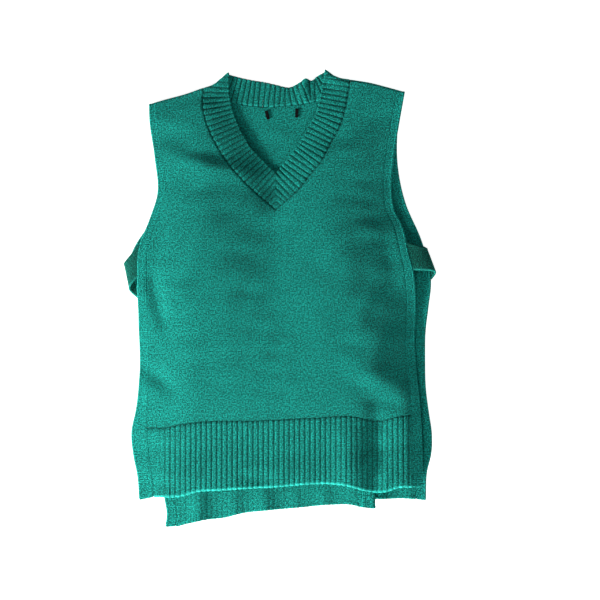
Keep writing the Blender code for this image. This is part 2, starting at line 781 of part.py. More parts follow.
def add_stub(name, middle_x, middle_y, lean, material):
    """Short end of a cut-off label, on the inside of the back."""
    rows, columns = STUB_GRID
    turn = math.radians(lean)
    across = np.linspace(-0.5, 0.5, columns)[None, :] * STUB_SIZE[0]
    along = np.linspace(-0.5, 0.5, rows)[:, None] * STUB_SIZE[1]
    x = (middle_x + across * math.cos(turn) - along * math.sin(turn)).ravel()
    y = (middle_y + across * math.sin(turn) + along * math.cos(turn)).ravel()
    away = y - fold_height(x)
    inside = -lay_normal(x, away)
    middle = lay(x, away) + inside * (WALL / 2 + STUB_GAP + STUB_WALL / 2)
    return add_wall(name, middle, inside, grid_quads(rows, columns), STUB_WALL, material)


def clear_scene():
    for thing in list(bpy.data.objects):
        bpy.data.objects.remove(thing)


def build():
    clear_scene()
    knit = make_material("green_knit", (0.012, 0.27, 0.225), 0.9)
    rib = make_material("green_rib", (0.010, 0.24, 0.200), 0.9)
    edging = make_material("green_edging", (0.010, 0.25, 0.205), 0.9)
    black = make_material("black_label", (0.01, 0.01, 0.01), 0.7)

    front = Layer(
        "front",
        1,
        (FRONT_LEFT_EDGE, FRONT_RIGHT_EDGE),
        FRONT_HEM,
        FRONT_SEAM,
        (LEFT_BAND_FRONT, RIGHT_BAND_FRONT),
        FRONT_NECK_START,
        (FRONT_COLUMNS, FRONT_BODY_ROWS, FRONT_NECK_ROWS),
    )
    back = Layer(
        "back",
        -1,
        (BACK_LEFT_EDGE, BACK_RIGHT_EDGE),
        BACK_HEM,
        BACK_SEAM,
        (LEFT_BAND_BACK, RIGHT_BAND_BACK),
        BACK_NECK_START,
        (BACK_COLUMNS, BACK_BODY_ROWS, BACK_NECK_ROWS),
    )
    pleat_columns = [PLEAT_START + PLEAT_WIDTH * share for share in PLEAT_COLUMNS]

    front.add_panel("front_panel", knit)
    back.add_panel("back_panel", knit)
    front.add_hem("front_hem_rib", rib)
    back.add_hem("back_hem_rib", rib, pleat_columns)
    for layer in (front, back):
        for edge, side in zip(layer.edges, ("left", "right")):
            layer.add_band(edge, f"{layer.name}_{side}_band", edging)
    for index, (side, sign) in enumerate((("left", -1), ("right", 1))):
        shift = sign * SEAM_GAP / 2
        add_neckband(f"neckband_{side}", front.necks[index], back.necks[index], shift, rib)
        add_tab(f"{side}_tab", TABS[side], front.edges[index], back.edges[index], edging)
        add_stub(f"label_stub_{side}", *STUBS[side], black)


build()
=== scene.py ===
"""Looks of a knitted sweater vest with a ribbed V neck and open sides, laid flat on its back.

The vest is one sheet folded over along the shoulders: a point of the cloth is given by x and by how far it
lies from the shoulder fold, and lay() says where that point is in space. Every piece is a closed thin
wall, finely divided, with its ribs, rolled edges and small creases in the mesh, and its stitches in the
material, which also paints shade between the stitches, in grooves and at seams, and paints highlights on
edges. Lengths are in metres.
"""

import math

import bpy
import numpy as np
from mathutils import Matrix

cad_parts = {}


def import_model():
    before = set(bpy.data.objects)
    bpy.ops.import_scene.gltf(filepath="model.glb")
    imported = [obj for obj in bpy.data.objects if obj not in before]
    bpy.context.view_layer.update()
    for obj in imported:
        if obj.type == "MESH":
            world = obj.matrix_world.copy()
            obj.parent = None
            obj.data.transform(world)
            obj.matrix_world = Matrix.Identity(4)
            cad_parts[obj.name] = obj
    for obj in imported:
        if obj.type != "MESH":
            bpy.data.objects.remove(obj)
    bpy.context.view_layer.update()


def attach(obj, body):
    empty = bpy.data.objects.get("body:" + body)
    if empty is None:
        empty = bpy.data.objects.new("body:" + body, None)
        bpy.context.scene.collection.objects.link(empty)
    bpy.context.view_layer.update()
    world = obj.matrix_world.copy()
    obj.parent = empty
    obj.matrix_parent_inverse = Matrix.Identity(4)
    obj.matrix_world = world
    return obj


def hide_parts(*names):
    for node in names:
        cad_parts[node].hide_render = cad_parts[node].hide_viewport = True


# Driving dimensions
WALL = 0.0024  # thickness of the knitted cloth
TAB_WALL = 0.0026
STUB_WALL = 0.0008
SEAM_GAP = 0.0003  # between two pieces that are sewn together
STUB_GAP = 0.0007  # between a label stub and the back
TAB_GAP = 0.0007  # between a tab and the edge it is sewn to
FOLD_RADIUS = 0.0028  # of the middle of the cloth round the shoulder fold
FOLD_ARC = FOLD_RADIUS * math.pi / 2  # cloth used by a quarter turn
MIDDLE_HEIGHT = WALL / 2 + FOLD_RADIUS  # of the fold's centre; the back lies WALL / 2 above the surface
HEM_DEPTH = 0.100
FOLD_FADE = 0.04  # rows follow the shoulder's slope within this of the fold
SEAM_FADE = 0.12  # and the hem seam's wave within this of the seam
RELIEF_START = 0.02  # creases reach their full height this far from the fold
NORMAL_STEP = 0.0002
CROSSING_STEPS = 6  # rounds of stepping between two curves until they meet
WELD_DIGITS = 7  # points that agree to this many decimals are one

# How finely the pieces are divided
HEM_ROWS = 44
FOLD_ROWS = 6
NECKBAND_COLUMNS = 30
# Columns in each half of the body and of the hem, rows of the body and beside the neck
FRONT_COUNTS = (62, 250, 110, 200)
BACK_COUNTS = (44, 130, 90, 110)
BAND_COLUMNS = 8
TAB_STEPS = 60
TAB_COLUMNS = 24
STUB_ROWS = 24
STUB_COLUMNS = 10

# Where the cloth turns over, from the armhole to the peak beside the neck: x, y
LEFT_FOLD = (
    (-0.189, 0.279),
    (-0.165, 0.286),
    (-0.136, 0.294),
    (-0.111, 0.303),
    (-0.096, 0.308),
    (-0.085, 0.317),
    (-0.075, 0.326),
)
RIGHT_FOLD = (
    (0.067, 0.330),
    (0.076, 0.323),
    (0.086, 0.318),
    (0.103, 0.315),
    (0.133, 0.310),
    (0.156, 0.304),
    (0.181, 0.297),
)

# Open edges of the four sides, from the hem up: y, x of the edge, width of its band
FRONT_LEFT_EDGE = (
    (-0.292, -0.199, 0.020),
    (-0.257, -0.202, 0.021),
    (-0.230, -0.208, 0.022),
    (-0.196, -0.211, 0.022),
    (-0.165, -0.205, 0.016),
    (-0.110, -0.200, 0.013),
    (-0.034, -0.202, 0.013),
    (0.017, -0.204, 0.013),
    (0.073, -0.201, 0.012),
    (0.108, -0.188, 0.011),
    (0.147, -0.176, 0.011),
    (0.201, -0.180, 0.011),
    (0.256, -0.188, 0.011),
    (0.281, -0.189, 0.011),
)
FRONT_RIGHT_EDGE = (
    (-0.275, 0.204, 0.014),
    (-0.194, 0.203, 0.014),
    (-0.162, 0.201, 0.013),
    (-0.109, 0.196, 0.012),
    (-0.063, 0.194, 0.012),
    (-0.012, 0.196, 0.012),
    (0.031, 0.193, 0.012),
    (0.060, 0.186, 0.011),
    (0.105, 0.175, 0.011),
    (0.123, 0.166, 0.011),
    (0.147, 0.162, 0.011),
    (0.204, 0.165, 0.011),
    (0.247, 0.172, 0.011),
    (0.297, 0.181, 0.011),
)
BACK_LEFT_EDGE = (
    (-0.331, -0.162, 0.013),
    (-0.317, -0.160, 0.013),
    (-0.289, -0.164, 0.013),
    (-0.194, -0.173, 0.013),
    (-0.121, -0.183, 0.013),
    (-0.049, -0.195, 0.013),
    (-0.002, -0.203, 0.012),
    (0.031, -0.211, 0.011),
    (0.053, -0.215, 0.011),
    (0.078, -0.205, 0.011),
    (0.096, -0.193, 0.011),
    (0.121, -0.181, 0.011),
    (0.160, -0.175, 0.011),
    (0.212, -0.181, 0.011),
    (0.279, -0.189, 0.011),
)
BACK_RIGHT_EDGE = (
    (-0.293, 0.209, 0.013),
    (-0.253, 0.211, 0.013),
    (-0.228, 0.217, 0.013),
    (-0.198, 0.218, 0.013),
    (-0.169, 0.214, 0.013),
    (-0.136, 0.210, 0.013),
    (-0.092, 0.209, 0.013),
    (-0.050, 0.210, 0.013),
    (-0.018, 0.214, 0.012),
    (0.024, 0.218, 0.011),
    (0.053, 0.213, 0.011),
    (0.082, 0.204, 0.011),
    (0.134, 0.182, 0.011),
    (0.186, 0.171, 0.011),
    (0.244, 0.171, 0.011),
    (0.297, 0.181, 0.011),
)

# Seams between body and hem rib, and the hems themselves: x, y
FRONT_SEAM = (
    (-0.188, -0.190),
    (-0.165, -0.190),
    (-0.144, -0.186),
    (-0.115, -0.182),
    (-0.031, -0.180),
    (0.051, -0.176),
    (0.104, -0.174),
    (0.138, -0.180),
    (0.153, -0.179),
    (0.170, -0.174),
    (0.188, -0.172),
)
FRONT_HEM = (
    (-0.199, -0.292),
    (-0.186, -0.289),
    (-0.138, -0.286),
    (-0.117, -0.280),
    (-0.089, -0.278),
    (-0.020, -0.274),
    (0.099, -0.272),
    (0.126, -0.279),
    (0.141, -0.281),
    (0.153, -0.280),
    (0.167, -0.275),
    (0.204, -0.274),
)
BACK_SEAM = ((-0.172, -0.205), (0.218, -0.193))
BACK_HEM = (
    (-0.162, -0.331),
    (-0.154, -0.331),
    (-0.131, -0.326),
    (-0.108, -0.321),
    (-0.076, -0.317),
    (-0.057, -0.312),
    (-0.015, -0.307),
    (0.030, -0.303),
    (0.075, -0.299),
    (0.109, -0.300),
    (0.121, -0.304),
    (0.128, -0.303),
    (0.138, -0.292),
    (0.150, -0.291),
    (0.178, -0.290),
    (0.209, -0.293),
)

# Neckband from the V's point up to the shoulder fold, then on round the back neck to its join:
# x, y of the sewn edge, x, y of the free edge
LEFT_BAND_FRONT = (
    (-0.005, 0.124, -0.005, 0.178),
    (-0.036, 0.150, -0.012, 0.184),
    (-0.059, 0.173, -0.028, 0.200),
    (-0.078, 0.196, -0.045, 0.219),
    (-0.096, 0.227, -0.059, 0.245),
    (-0.107, 0.254, -0.069, 0.270),
    (-0.112, 0.277, -0.074, 0.293),
    (-0.111, 0.300, -0.075, 0.323),
)
RIGHT_BAND_FRONT = (
    (-0.005, 0.124, -0.005, 0.178),
    (0.028, 0.153, 0.006, 0.190),
    (0.046, 0.176, 0.020, 0.209),
    (0.062, 0.196, 0.033, 0.227),
    (0.076, 0.224, 0.045, 0.249),
    (0.089, 0.249, 0.055, 0.268),
    (0.097, 0.277, 0.061, 0.294),
    (0.103, 0.312, 0.067, 0.327),
)
LEFT_BAND_BACK = (
    (-0.111, 0.300, -0.075, 0.323),
    (-0.094, 0.291, -0.064, 0.320),
    (-0.070, 0.283, -0.052, 0.317),
    (-0.047, 0.278, -0.037, 0.314),
    (-0.025, 0.276, -0.023, 0.312),
)
RIGHT_BAND_BACK = (
    (0.103, 0.312, 0.067, 0.327),
    (0.086, 0.298, 0.056, 0.321),
    (0.066, 0.288, 0.047, 0.314),
    (0.048, 0.283, 0.038, 0.317),
    (0.031, 0.280, 0.029, 0.311),
    (0.012, 0.278, 0.014, 0.304),
    (-0.007, 0.276, -0.006, 0.308),
    (-0.025, 0.276, -0.023, 0.312),
)
FRONT_POINT = LEFT_BAND_FRONT[0]
FRONT_NECK_START = 0.120  # y on the front's side edges level with the V's point
BACK_NECK_START = 0.200
BAND_LIFT = 0.0008  # the free edge of the neckband stands this much higher on the front

# Soft ridges and troughs of the laid cloth: x and y of both ends, height, reach to each side
FRONT_CREASES = (
    (-0.150, 0.222, -0.078, 0.196, -0.0020, 0.014),
    (-0.145, 0.200, -0.066, 0.180, 0.0026, 0.014),
    (-0.170, 0.258, -0.110, 0.272, 0.0022, 0.016),
    (-0.160, 0.165, -0.090, 0.150, -0.0014, 0.016),
    (0.080, 0.222, 0.150, 0.262, -0.0030, 0.015),
    (0.002, 0.118, 0.120, 0.228, 0.0034, 0.017),
    (-0.183, 0.024, -0.168, -0.038, -0.0042, 0.011),
    (-0.192, -0.050, -0.140, 0.006, 0.0036, 0.014),
    (-0.192, -0.106, -0.160, -0.130, -0.0034, 0.011),
    (-0.190, -0.140, -0.130, -0.118, 0.0018, 0.014),
    (0.108, -0.104, 0.176, -0.138, 0.0022, 0.014),
    (0.120, -0.146, 0.170, -0.160, -0.0022, 0.011),
    (0.138, -0.170, 0.134, -0.290, -0.0070, 0.015),
    (0.180, -0.150, 0.184, -0.290, 0.0058, 0.020),
    (0.095, -0.190, 0.098, -0.280, 0.0024, 0.016),
    (-0.050, -0.262, -0.018, -0.264, -0.0018, 0.011),
    (-0.150, -0.018, -0.060, 0.042, 0.0009, 0.014),
    (-0.130, -0.060, -0.020, 0.010, -0.0008, 0.014),
    (0.020, 0.060, 0.110, 0.010, -0.0008, 0.014),
    (0.000, -0.020, 0.110, 0.050, 0.0008, 0.015),
)
BACK_CREASES = (
    (-0.022, 0.240, 0.010, 0.232, 0.0010, 0.010),
    (0.038, 0.322, 0.034, 0.296, 0.0026, 0.007),
    (-0.120, -0.345, -0.114, -0.290, 0.0040, 0.012),
    (-0.066, -0.340, -0.064, -0.290, 0.0022, 0.012),
    (-0.020, -0.335, -0.022, -0.290, 0.0036, 0.014),
    (0.022, -0.325, 0.024, -0.290, 0.0016, 0.010),
    (0.066, -0.322, 0.068, -0.290, 0.0030, 0.013),
    (0.186, -0.310, 0.186, -0.286, 0.0018, 0.010),
)
PUFF = 0.0155  # the front's middle stands this much above its sides
PUFF_KNEE = 0.18  # softness of the turn from flank to middle
LEFT_FLANK = 0.075  # width of the flank on the left
RIGHT_FLANK = (  # and on the right: y, width
    (-0.290, 0.075),
    (-0.150, 0.065),
    (-0.080, 0.060),
    (0.000, 0.092),
    (0.080, 0.104),
    (0.160, 0.120),
    (0.300, 0.150),
)
SHOULDER_FLANK = 0.110  # below the shoulder fold
NECK_FLANK = 0.130  # beside the neck opening
NECK_TIP = (-0.007, 0.186)  # foot of the neck opening: x, y
NECK_SLOPE = 1.8  # rise of the opening's sides, for each metre across
NECK_ROUND = 0.012  # radius with which the relief turns round the opening's foot
NECK_DROP = 0.0034  # the front's edge at the opening lies this much lower
NECK_DROP_REACH = 0.045  # and rises again within this of it
PUFF_AT_HEM = 0.45  # share of it left at the hem
PUFF_FADE = (-0.30, 0.16)  # y of the hem, and how far above it the fade begins
# The tabs hold the front's edges up: height, reach inwards, y of the middle, reach up and down
EDGE_LIFTS = {
    "left": (0.0040, 0.030, 0.045, 0.075),
    "right": (0.0048, 0.035, 0.052, 0.080),
}
RIGHT_DROP = 0.0022  # the rest of the right edge hangs lower
RIGHT_DROP_REACH = 0.060
# y of its middle, reach up and down, and half the height it is full for
RIGHT_DROP_PLACE = (0.060, 0.220, 0.080)
HEM_LIFT = 0.0038  # the front's hem lies on the back's waves
HEM_LIFT_START = -0.215
PLEAT_LIFT = 0.0036  # and over the back's pleat
PLEAT_LIFT_START = -0.20
PLEAT_LIFT_PLACE = (0.125, 0.070)  # x of its middle, reach to each side
HEM_RISE = 0.05  # how far below their start the two are full

# Pleat in the back's hem: the cloth doubles back on itself below the front's hem
PLEAT_START = 0.1128
PLEAT_WIDTH = 0.040
PLEAT_OVERLAP = 0.012
PLEAT_HEIGHT = 0.0066
PLEAT_FOLDS = (0.34, 0.66)  # the two turns, as shares of the width
PLEAT_TURN = 0.2  # width of each turn, as a share
# Shares of the hem's depth: the overlap's start and reach, the height's reach
PLEAT_DEPTHS = (0.4, 0.4, 0.45)
PLEAT_RAMP = 0.045  # how far away the cloth starts to rise to it

# Side tabs: y of the upper and lower edge where they meet the front band and the back band,
# then x, y of the outermost point of each edge
TABS = {
    "left": {
        "front_y": (0.073, 0.028),
        "back_y": (0.051, -0.003),
        "turn": ((-0.2235, 0.047), (-0.2165, 0.011)),
    },
    "right": {
        "front_y": (0.076, 0.038),
        "back_y": (0.071, 0.024),
        "turn": ((0.2115, 0.068), (0.2240, 0.036)),
    },
}

# Label stubs on the inside of the back: x, y of the middle, lean in degrees
STUBS = {"left": (-0.018, 0.264, 14.0), "right": (0.025, 0.267, -3.0)}
STUB_SIZE = (0.0038, 0.0125)  # width, length
SIDES = ("left", "right")

# Small soft ripples over the front: wavelength, heading in degrees, phase, height
RIPPLES = (
    (0.031, 112, 0.3, 0.00036),
    (0.043, 128, 1.9, 0.00044),
    (0.052, 96, 4.0, 0.00040),
    (0.088, 150, 2.6, 0.00022),
    (0.070, 40, 5.1, 0.00020),
)
RIPPLE_BEND = 1.8  # how far their crests wander, as a phase
BEND_LENGTH = 3.3  # in wavelengths, as is the next
SWELL_LENGTH = 4.7
SWELL_SLANT = 0.4

# Ribs
RIB_PITCH = 0.0074
BAND_RIB_PITCH = 0.0075
RIB_HEIGHT = 0.0009
RIB_BASE = 0.6  # share of a rib's height that lies within the plain wall
RIB_FLATNESS = 3.2  # the higher, the flatter a rib's top
GROOVE_SHADE_WIDTH = 0.11  # share of the pitch that painted shade darkens at the grooves
FRONT_RIB_FADE = (-0.178, 0.022)  # x where the front hem's ribs start, and how far on they are full
BACK_RIB_STRENGTH = 0.35
NECK_UNDER_RIBS = 0.9  # strength of the ribs on the neckband's other face
NECK_OVER_REACH = 0.008  # the ribs of its outer face fade within this over the shoulder

# Rims: shares of a round rim's bulge and slant
HALF_WAY = math.sqrt(0.5)
SEWN_BULGE = 0.11
SEWN_SLANT = 0.96

# Rolled edges: how much thicker the wall is, how far they reach, and how strong the painted highlight on
# them is (0 to 1)
ROLL_HEIGHT = 0.0006
TAB_ROLL_HEIGHT = 0.0004
BAND_ROLL_REACH = 0.0025
ROLL_REACH = 0.0030  # of the hems and the tabs
HEM_ROLL = 1.2
NECK_ROLL = 0.3
NECK_ROLL_SHARE = 0.06  # of the neckband's width
HEM_SCALLOP = 0.0007  # the hem runs this far in and out from rib to groove
# Painted highlights on the rolled edges of the bands, the front hem and the tabs, and beside the back's
# neck seam
BAND_PAINTED_HIGHLIGHT = 0.12
HEM_PAINTED_HIGHLIGHT = 1.2
TAB_PAINTED_HIGHLIGHT = 0.35
NECK_SEAM_PAINTED_HIGHLIGHT = (0.3, 0.6)  # at its least, and how much more on each rib

# Seams: how far they reach, how deep they sink, and how dark the painted shade in them and in the rib
# grooves is (0 to 1)
HEM_SEAM_REACH = 0.0035
PANEL_SEAM_REACH = 0.0022
SIDE_SEAM_REACH = 0.0020  # and of the tabs' ends
NECK_SEAM_REACH = 0.0030
BAND_SEAM_SHARE = 0.10  # of the band's width
SEAM_SINK = 0.9  # share of a rib's or a roll's height
HEM_SIDE_SINK = 0.2
HEM_RIB_SHADE = 0.8
HEM_SEAM_SHADE = 0.7
HEM_SIDE_SHADE = 0.1
PANEL_SEAM_SHADE = 0.4
PANEL_SIDE_SHADE = 0.05
FRONT_NECK_SHADE = 0.6
BACK_NECK_SHADE = 0.2
NECK_SEAM_SHADE = 0.55
BAND_SEAM_SHADE = 0.25
TAB_END_SHADE = 0.7

# Knits: darkest and lightest colour, width and height of a stitch, depth of the stitches
KNITS = {
    "plain_knit": ((0.0012, 0.106, 0.087, 1), (0.0095, 0.44, 0.368, 1), 0.0024, 0.0019, 0.0012),
    "rib_knit": ((0.0012, 0.102, 0.084, 1), (0.0095, 0.43, 0.358, 1), RIB_PITCH / 3, 0.0021, 0.0010),
    "fine_edging": ((0.0012, 0.102, 0.084, 1), (0.0095, 0.42, 0.352, 1), 0.0040, 0.0027, 0.0010),
    # darker copy of the knit, as painted shade on the side tabs that face away from the light
    "tab_knit_painted_shade": ((0.0016, 0.055, 0.042, 1), (0.006, 0.20, 0.150, 1), 0.0040, 0.0027, 0.0010),
}
# Painted highlight on edges that would catch the light
PAINTED_HIGHLIGHT_COLOR = (0.035, 0.72, 0.62, 1)
PAINTED_HIGHLIGHT_SHARE = 0.55  # of the painted highlight where an edge is brightest
# Painted shade in rib grooves and seams
PAINTED_SHADE_COLOR = (0.0014, 0.030, 0.026, 1)
PAINTED_SHADE_SHARE = 0.95
SHEEN_COLOR = (0.12, 0.95, 0.85, 1)
STITCH_SLANT = 3.6  # turn of a stitch's loop from its middle to its side
STITCH_FLOOR = 0.35  # share of the height between two loops
# Noise: scale, detail, roughness
SIDE_DRIFT = (160.0, 3.0, 0.6)  # stitches wander to the side
ROW_DRIFT = (210.0, 3.0, 0.6)  # and up and down
FIBRE = (1500.0, 3.0, 0.7)
FUZZ = (510.0, 3.0, 0.7)
DYE = (26.0, 3.0, 0.6)
TAPE_NOISE = (900.0, 2.0, 0.5)
SIDE_DRIFT_SIZE = 0.0030
ROW_DRIFT_SIZE = 0.0040
# Heights and tones of fibre, fuzz, dye and stitch, where the stitch's own height is 1; the stitch's tone is
# painted shade, darker in the hollows between the loops
FIBRE_HEIGHT = 0.6
FUZZ_HEIGHT = 1.8
FUZZ_TONE = 9.6
DYE_TONE = 0.5
STITCH_PAINTED_SHADE = 0.45
TAPE_COLORS = ((0.0005, 0.0012, 0.0016, 1), (0.003, 0.0048, 0.006, 1))
WEAVE = 0.0006  # of the label's tape
WEAVE_DEPTH = 0.0001
UV_NAME = "Cloth"

# Room
CAMERA_ELEVATION = 86.0
CAMERA_DISTANCE = 2.4
CAMERA_TARGET = (0.0297, -0.0065, 0.008)
VIEW_WIDTH = 0.866  # at the target
SENSOR_WIDTH = 36.0  # millimetres
FLOOR_HALF = 6.0
FLOOR_GAP = 0.0002
FLOOR_GLOW = 0.80
AIR_STRENGTH = 0.27
WARM_WHITE = (1.0, 0.98, 0.95)
COOL_WHITE = (0.95, 0.98, 1.0)
# Lights: place, target, width, power, colour
LIGHTS = {
    "key": ((-2.11, -1.03, 0.60), (0.0, -0.05, 0.0), 0.45, 156.0, WARM_WHITE),
    "hem_light": ((0.02, -1.45, 0.50), (-0.02, -0.24, 0.0), 0.3, 19.0, WARM_WHITE),
    "fill": ((0.2, 0.3, 2.2), (0.0, 0.0, 0.0), 1.6, 1.0, COOL_WHITE),
}


def smooth(table, at, column=1):
    """Smooth curve through a table whose first column rises, straight on beyond its ends."""
    rows = np.array(table)
    knots = rows[:, 0]
    values = rows[:, column]
    slopes = np.gradient(values, knots)
    at = np.asarray(at, float)
    first = np.clip(np.searchsorted(knots, at) - 1, 0, len(knots) - 2)
    width = knots[first + 1] - knots[first]
    t = np.clip((at - knots[first]) / width, 0, 1)
    inside = (
        (1 + 2 * t) * (1 - t) ** 2 * values[first]
        + t * (1 - t) ** 2 * width * slopes[first]
        + t**2 * (3 - 2 * t) * values[first + 1]
        + t**2 * (t - 1) * width * slopes[first + 1]
    )
    before = np.minimum(at - knots[0], 0) * slopes[0]
    after = np.maximum(at - knots[-1], 0) * slopes[-1]
    return inside + before + after


def smooth_rows(table, count):
    """The table's rows read at count + 1 even steps of a smooth curve through them."""
    rows = np.array(table)
    numbered = np.column_stack([np.arange(len(rows)), rows])
    steps = np.linspace(0, len(rows) - 1, count + 1)
    return np.column_stack([smooth(numbered, steps, c + 1) for c in range(rows.shape[1])])


def ease(t):
    """0 below 0, 1 above 1, with a soft start and end."""
    t = np.clip(t, 0, 1)
    return t * t * (3 - 2 * t)


def near(distance, reach):
    """1 at no distance, softly down to 0 at the reach."""
    return ease(1 - distance / reach)


def blend(start, end, share):
    return start + (end - start) * share


def rise(t):
    """Straight slope from 0 at 0 to 1 at 1 and level beyond, with a soft turn between them."""
    return (1 + t - np.sqrt((1 - t) ** 2 + PUFF_KNEE**2)) / 2


# Shape of the laid cloth


def fold_y(x):
    """y of the shoulder fold, where the neck opening counts as part of the nearer shoulder."""
    return np.where(np.asarray(x) < FRONT_POINT[0], smooth(LEFT_FOLD, x), smooth(RIGHT_FOLD, x))


def fold_height(x):
    """y that the shoulder fold would have if the front were opened out flat."""
    return fold_y(x) - FOLD_RADIUS + FOLD_ARC


def creases(table, x, y):
    """Sum of the soft ridges and troughs at x, y."""
    total = np.zeros(np.broadcast(x, y).shape)
    for x0, y0, x1, y1, height, reach in table:
        length = math.hypot(x1 - x0, y1 - y0)
        along = ((x - x0) * (x1 - x0) + (y - y0) * (y1 - y0)) / length
        across = ((x - x0) * (y1 - y0) - (y - y0) * (x1 - x0)) / length
        middle = (along - length / 2) / (length / 2 + reach)
        total = total + height * np.exp(-((across / reach) ** 2)) * np.exp(-(middle**4))
    return total


def neck_distance(x, y):
    """How far a point of the front lies from the neck opening."""
    tip_x, tip_y = NECK_TIP
    aside = np.hypot(x - tip_x, NECK_ROUND) - NECK_ROUND
    distance = (NECK_SLOPE * aside - (y - tip_y)) / math.hypot(1, NECK_SLOPE)
    return np.maximum(distance, 0)


def puff(x, y, to_left, to_right):
    """Share of the front's puff at x, y: it sinks to the sides, the shoulders and the neck opening."""
    share = rise(to_left / LEFT_FLANK) * rise(to_right / smooth(RIGHT_FLANK, y))
    share = share * rise((fold_y(x) - y) / SHOULDER_FLANK) * rise(neck_distance(x, y) / NECK_FLANK)
    hem_y, reach = PUFF_FADE
    return share * blend(PUFF_AT_HEM, 1, ease((y - hem_y) / reach))


def ripples(x, y):
    """Sum of small waves whose crests wander and come and go."""
    total = np.zeros(np.broadcast(x, y).shape)
    for wavelength, heading, phase, height in RIPPLES:
        turn = 2 * math.pi / wavelength
        along = x * math.cos(math.radians(heading)) + y * math.sin(math.radians(heading))
        beside = y * math.cos(math.radians(heading)) - x * math.sin(math.radians(heading))
        bend = RIPPLE_BEND * np.sin(turn * beside / BEND_LENGTH + 2 * phase)
        swell = 0.5 + 0.5 * np.sin(turn * (beside + SWELL_SLANT * along) / SWELL_LENGTH + 3 * phase)
        total = total + height * swell * np.sin(turn * along + phase + bend)
    return total


def front_relief(x, y):
    """How far the front rises above its base height."""
    relief = creases(FRONT_CREASES, x, y) + ripples(x, y)
    sides = {"left": x - smooth(FRONT_LEFT_EDGE, y), "right": smooth(FRONT_RIGHT_EDGE, y) - x}
    for side, (height, inwards, middle, reach) in EDGE_LIFTS.items():
        relief = relief + height * near(sides[side], inwards) * near(np.abs(y - middle), reach)
    middle, reach, full = RIGHT_DROP_PLACE
    low = near(sides["right"], RIGHT_DROP_REACH) * ease((reach - np.abs(y - middle)) / (reach - full))
    hem = ease((HEM_LIFT_START - y) / HEM_RISE)
    middle, reach = PLEAT_LIFT_PLACE
    pleat = ease((PLEAT_LIFT_START - y) / HEM_RISE) * near(np.abs(x - middle), reach)
    neck = near(neck_distance(x, y), NECK_DROP_REACH)
    relief = relief + HEM_LIFT * hem + PLEAT_LIFT * pleat - NECK_DROP * neck - RIGHT_DROP * low
    return relief + PUFF * puff(x, y, sides["left"], sides["right"])


def pleat_size(x, y):
    """Overlap and height of the back's pleat at x, y: none at the seam, full at the hem."""
    depth = (smooth(BACK_SEAM, x) - y) / HEM_DEPTH
    start, reach, full = PLEAT_DEPTHS
    return PLEAT_OVERLAP * ease((depth - start) / reach), PLEAT_HEIGHT * ease(depth / full)


def pleated(x, y):
    """x and rise of the back's cloth once the pleat is folded in."""
    overlap, height = pleat_size(x, y)
    share = np.clip((x - PLEAT_START) / PLEAT_WIDTH, 0, 1)
    first, second = (ease((share - turn) / PLEAT_TURN + 0.5) for turn in PLEAT_FOLDS)
    ramp = ease((x - PLEAT_START + PLEAT_RAMP) / PLEAT_RAMP)
    return x + overlap * np.sin(2 * math.pi * share), height * ramp * (1 - (first + second) / 2)


def lay(x, away):
    """Point of the middle of the cloth, by x and distance from the shoulder fold: below 0 on the back."""
    x, away = np.broadcast_arrays(np.asarray(x, float), np.asarray(away, float))
    front = away > 0
    distance = np.abs(away)
    turn = np.clip((FOLD_ARC - distance) / FOLD_RADIUS, 0, math.pi / 2)
    y = fold_y(x) - FOLD_RADIUS - np.maximum(distance - FOLD_ARC, 0) + FOLD_RADIUS * np.sin(turn)
    flat = ease((distance - FOLD_ARC) / RELIEF_START)
    pleat_x, pleat_z = pleated(x, y)
    relief = np.where(front, front_relief(x, y), creases(BACK_CREASES, x, y) + pleat_z)
    z = MIDDLE_HEIGHT + np.where(front, 1, -1) * FOLD_RADIUS * np.cos(turn) + flat * relief
    return np.stack([np.where(front, x, pleat_x), y, z], axis=-1)


def lay_normal(x, away):
    """Unit normal of the laid cloth, out of the vest."""
    across = lay(x + NORMAL_STEP, away) - lay(x - NORMAL_STEP, away)
    up = lay(x, away - NORMAL_STEP) - lay(x, away + NORMAL_STEP)
    normal = np.cross(across, up)
    return normal / np.linalg.norm(normal, axis=-1, keepdims=True)


# Rows of points, as x and unfolded height y


class Edge:
    """Rows of points down one open side, on the outer edge of its band and on the seam inside it."""

    def __init__(self, table, hem, seam, neck_start, body_rows, neck_rows):
        self.inward = 1 if table[0][1] < 0 else -1
        self.table = table
        course = (hem, seam, neck_start, body_rows, neck_rows)
        self.outer = self.rows(0, *course)
        self.inner = self.rows(1, *course)

    def x(self, y, share):
        """x at a height, a share of the band's width in from the open edge."""
        return smooth(self.table, y) + self.inward * share * smooth(self.table, y, 2)

    def rows(self, share, hem, seam, neck_start, body_rows, neck_rows):
        bottom = self.crossing(share, self.table[0][0], lambda x: smooth(hem, x))
        waist = self.crossing(share, seam[0][1], lambda x: smooth(seam, x))
        before_fold = FOLD_ARC * np.arange(FOLD_ROWS, -1, -1) / FOLD_ROWS
        fold = self.crossing(share, self.table[-1][0] - before_fold, lambda x: fold_height(x) - before_fold)
        heights = np.concatenate(
            [
                np.linspace(bottom, waist, HEM_ROWS + 1),
                np.linspace(waist, neck_start, body_rows + 1)[1:],
                np.linspace(neck_start, fold[0], neck_rows + 1)[1:],
                fold[1:],
            ]
        )
        return np.column_stack([self.x(heights, share), heights])

    def crossing(self, share, guess, curve):
        """Height at which this edge meets a curve of x, found by stepping between the two."""
        height = guess
        for _ in range(CROSSING_STEPS):
            height = curve(self.x(height, share))
        return height


def fold_rows(x):
    """Rows from the start of the shoulder fold at x up to the fold itself."""
    heights = fold_height(x) - FOLD_ARC + FOLD_ARC * np.arange(1, FOLD_ROWS + 1) / FOLD_ROWS
    return np.column_stack([np.full(FOLD_ROWS, x), heights])


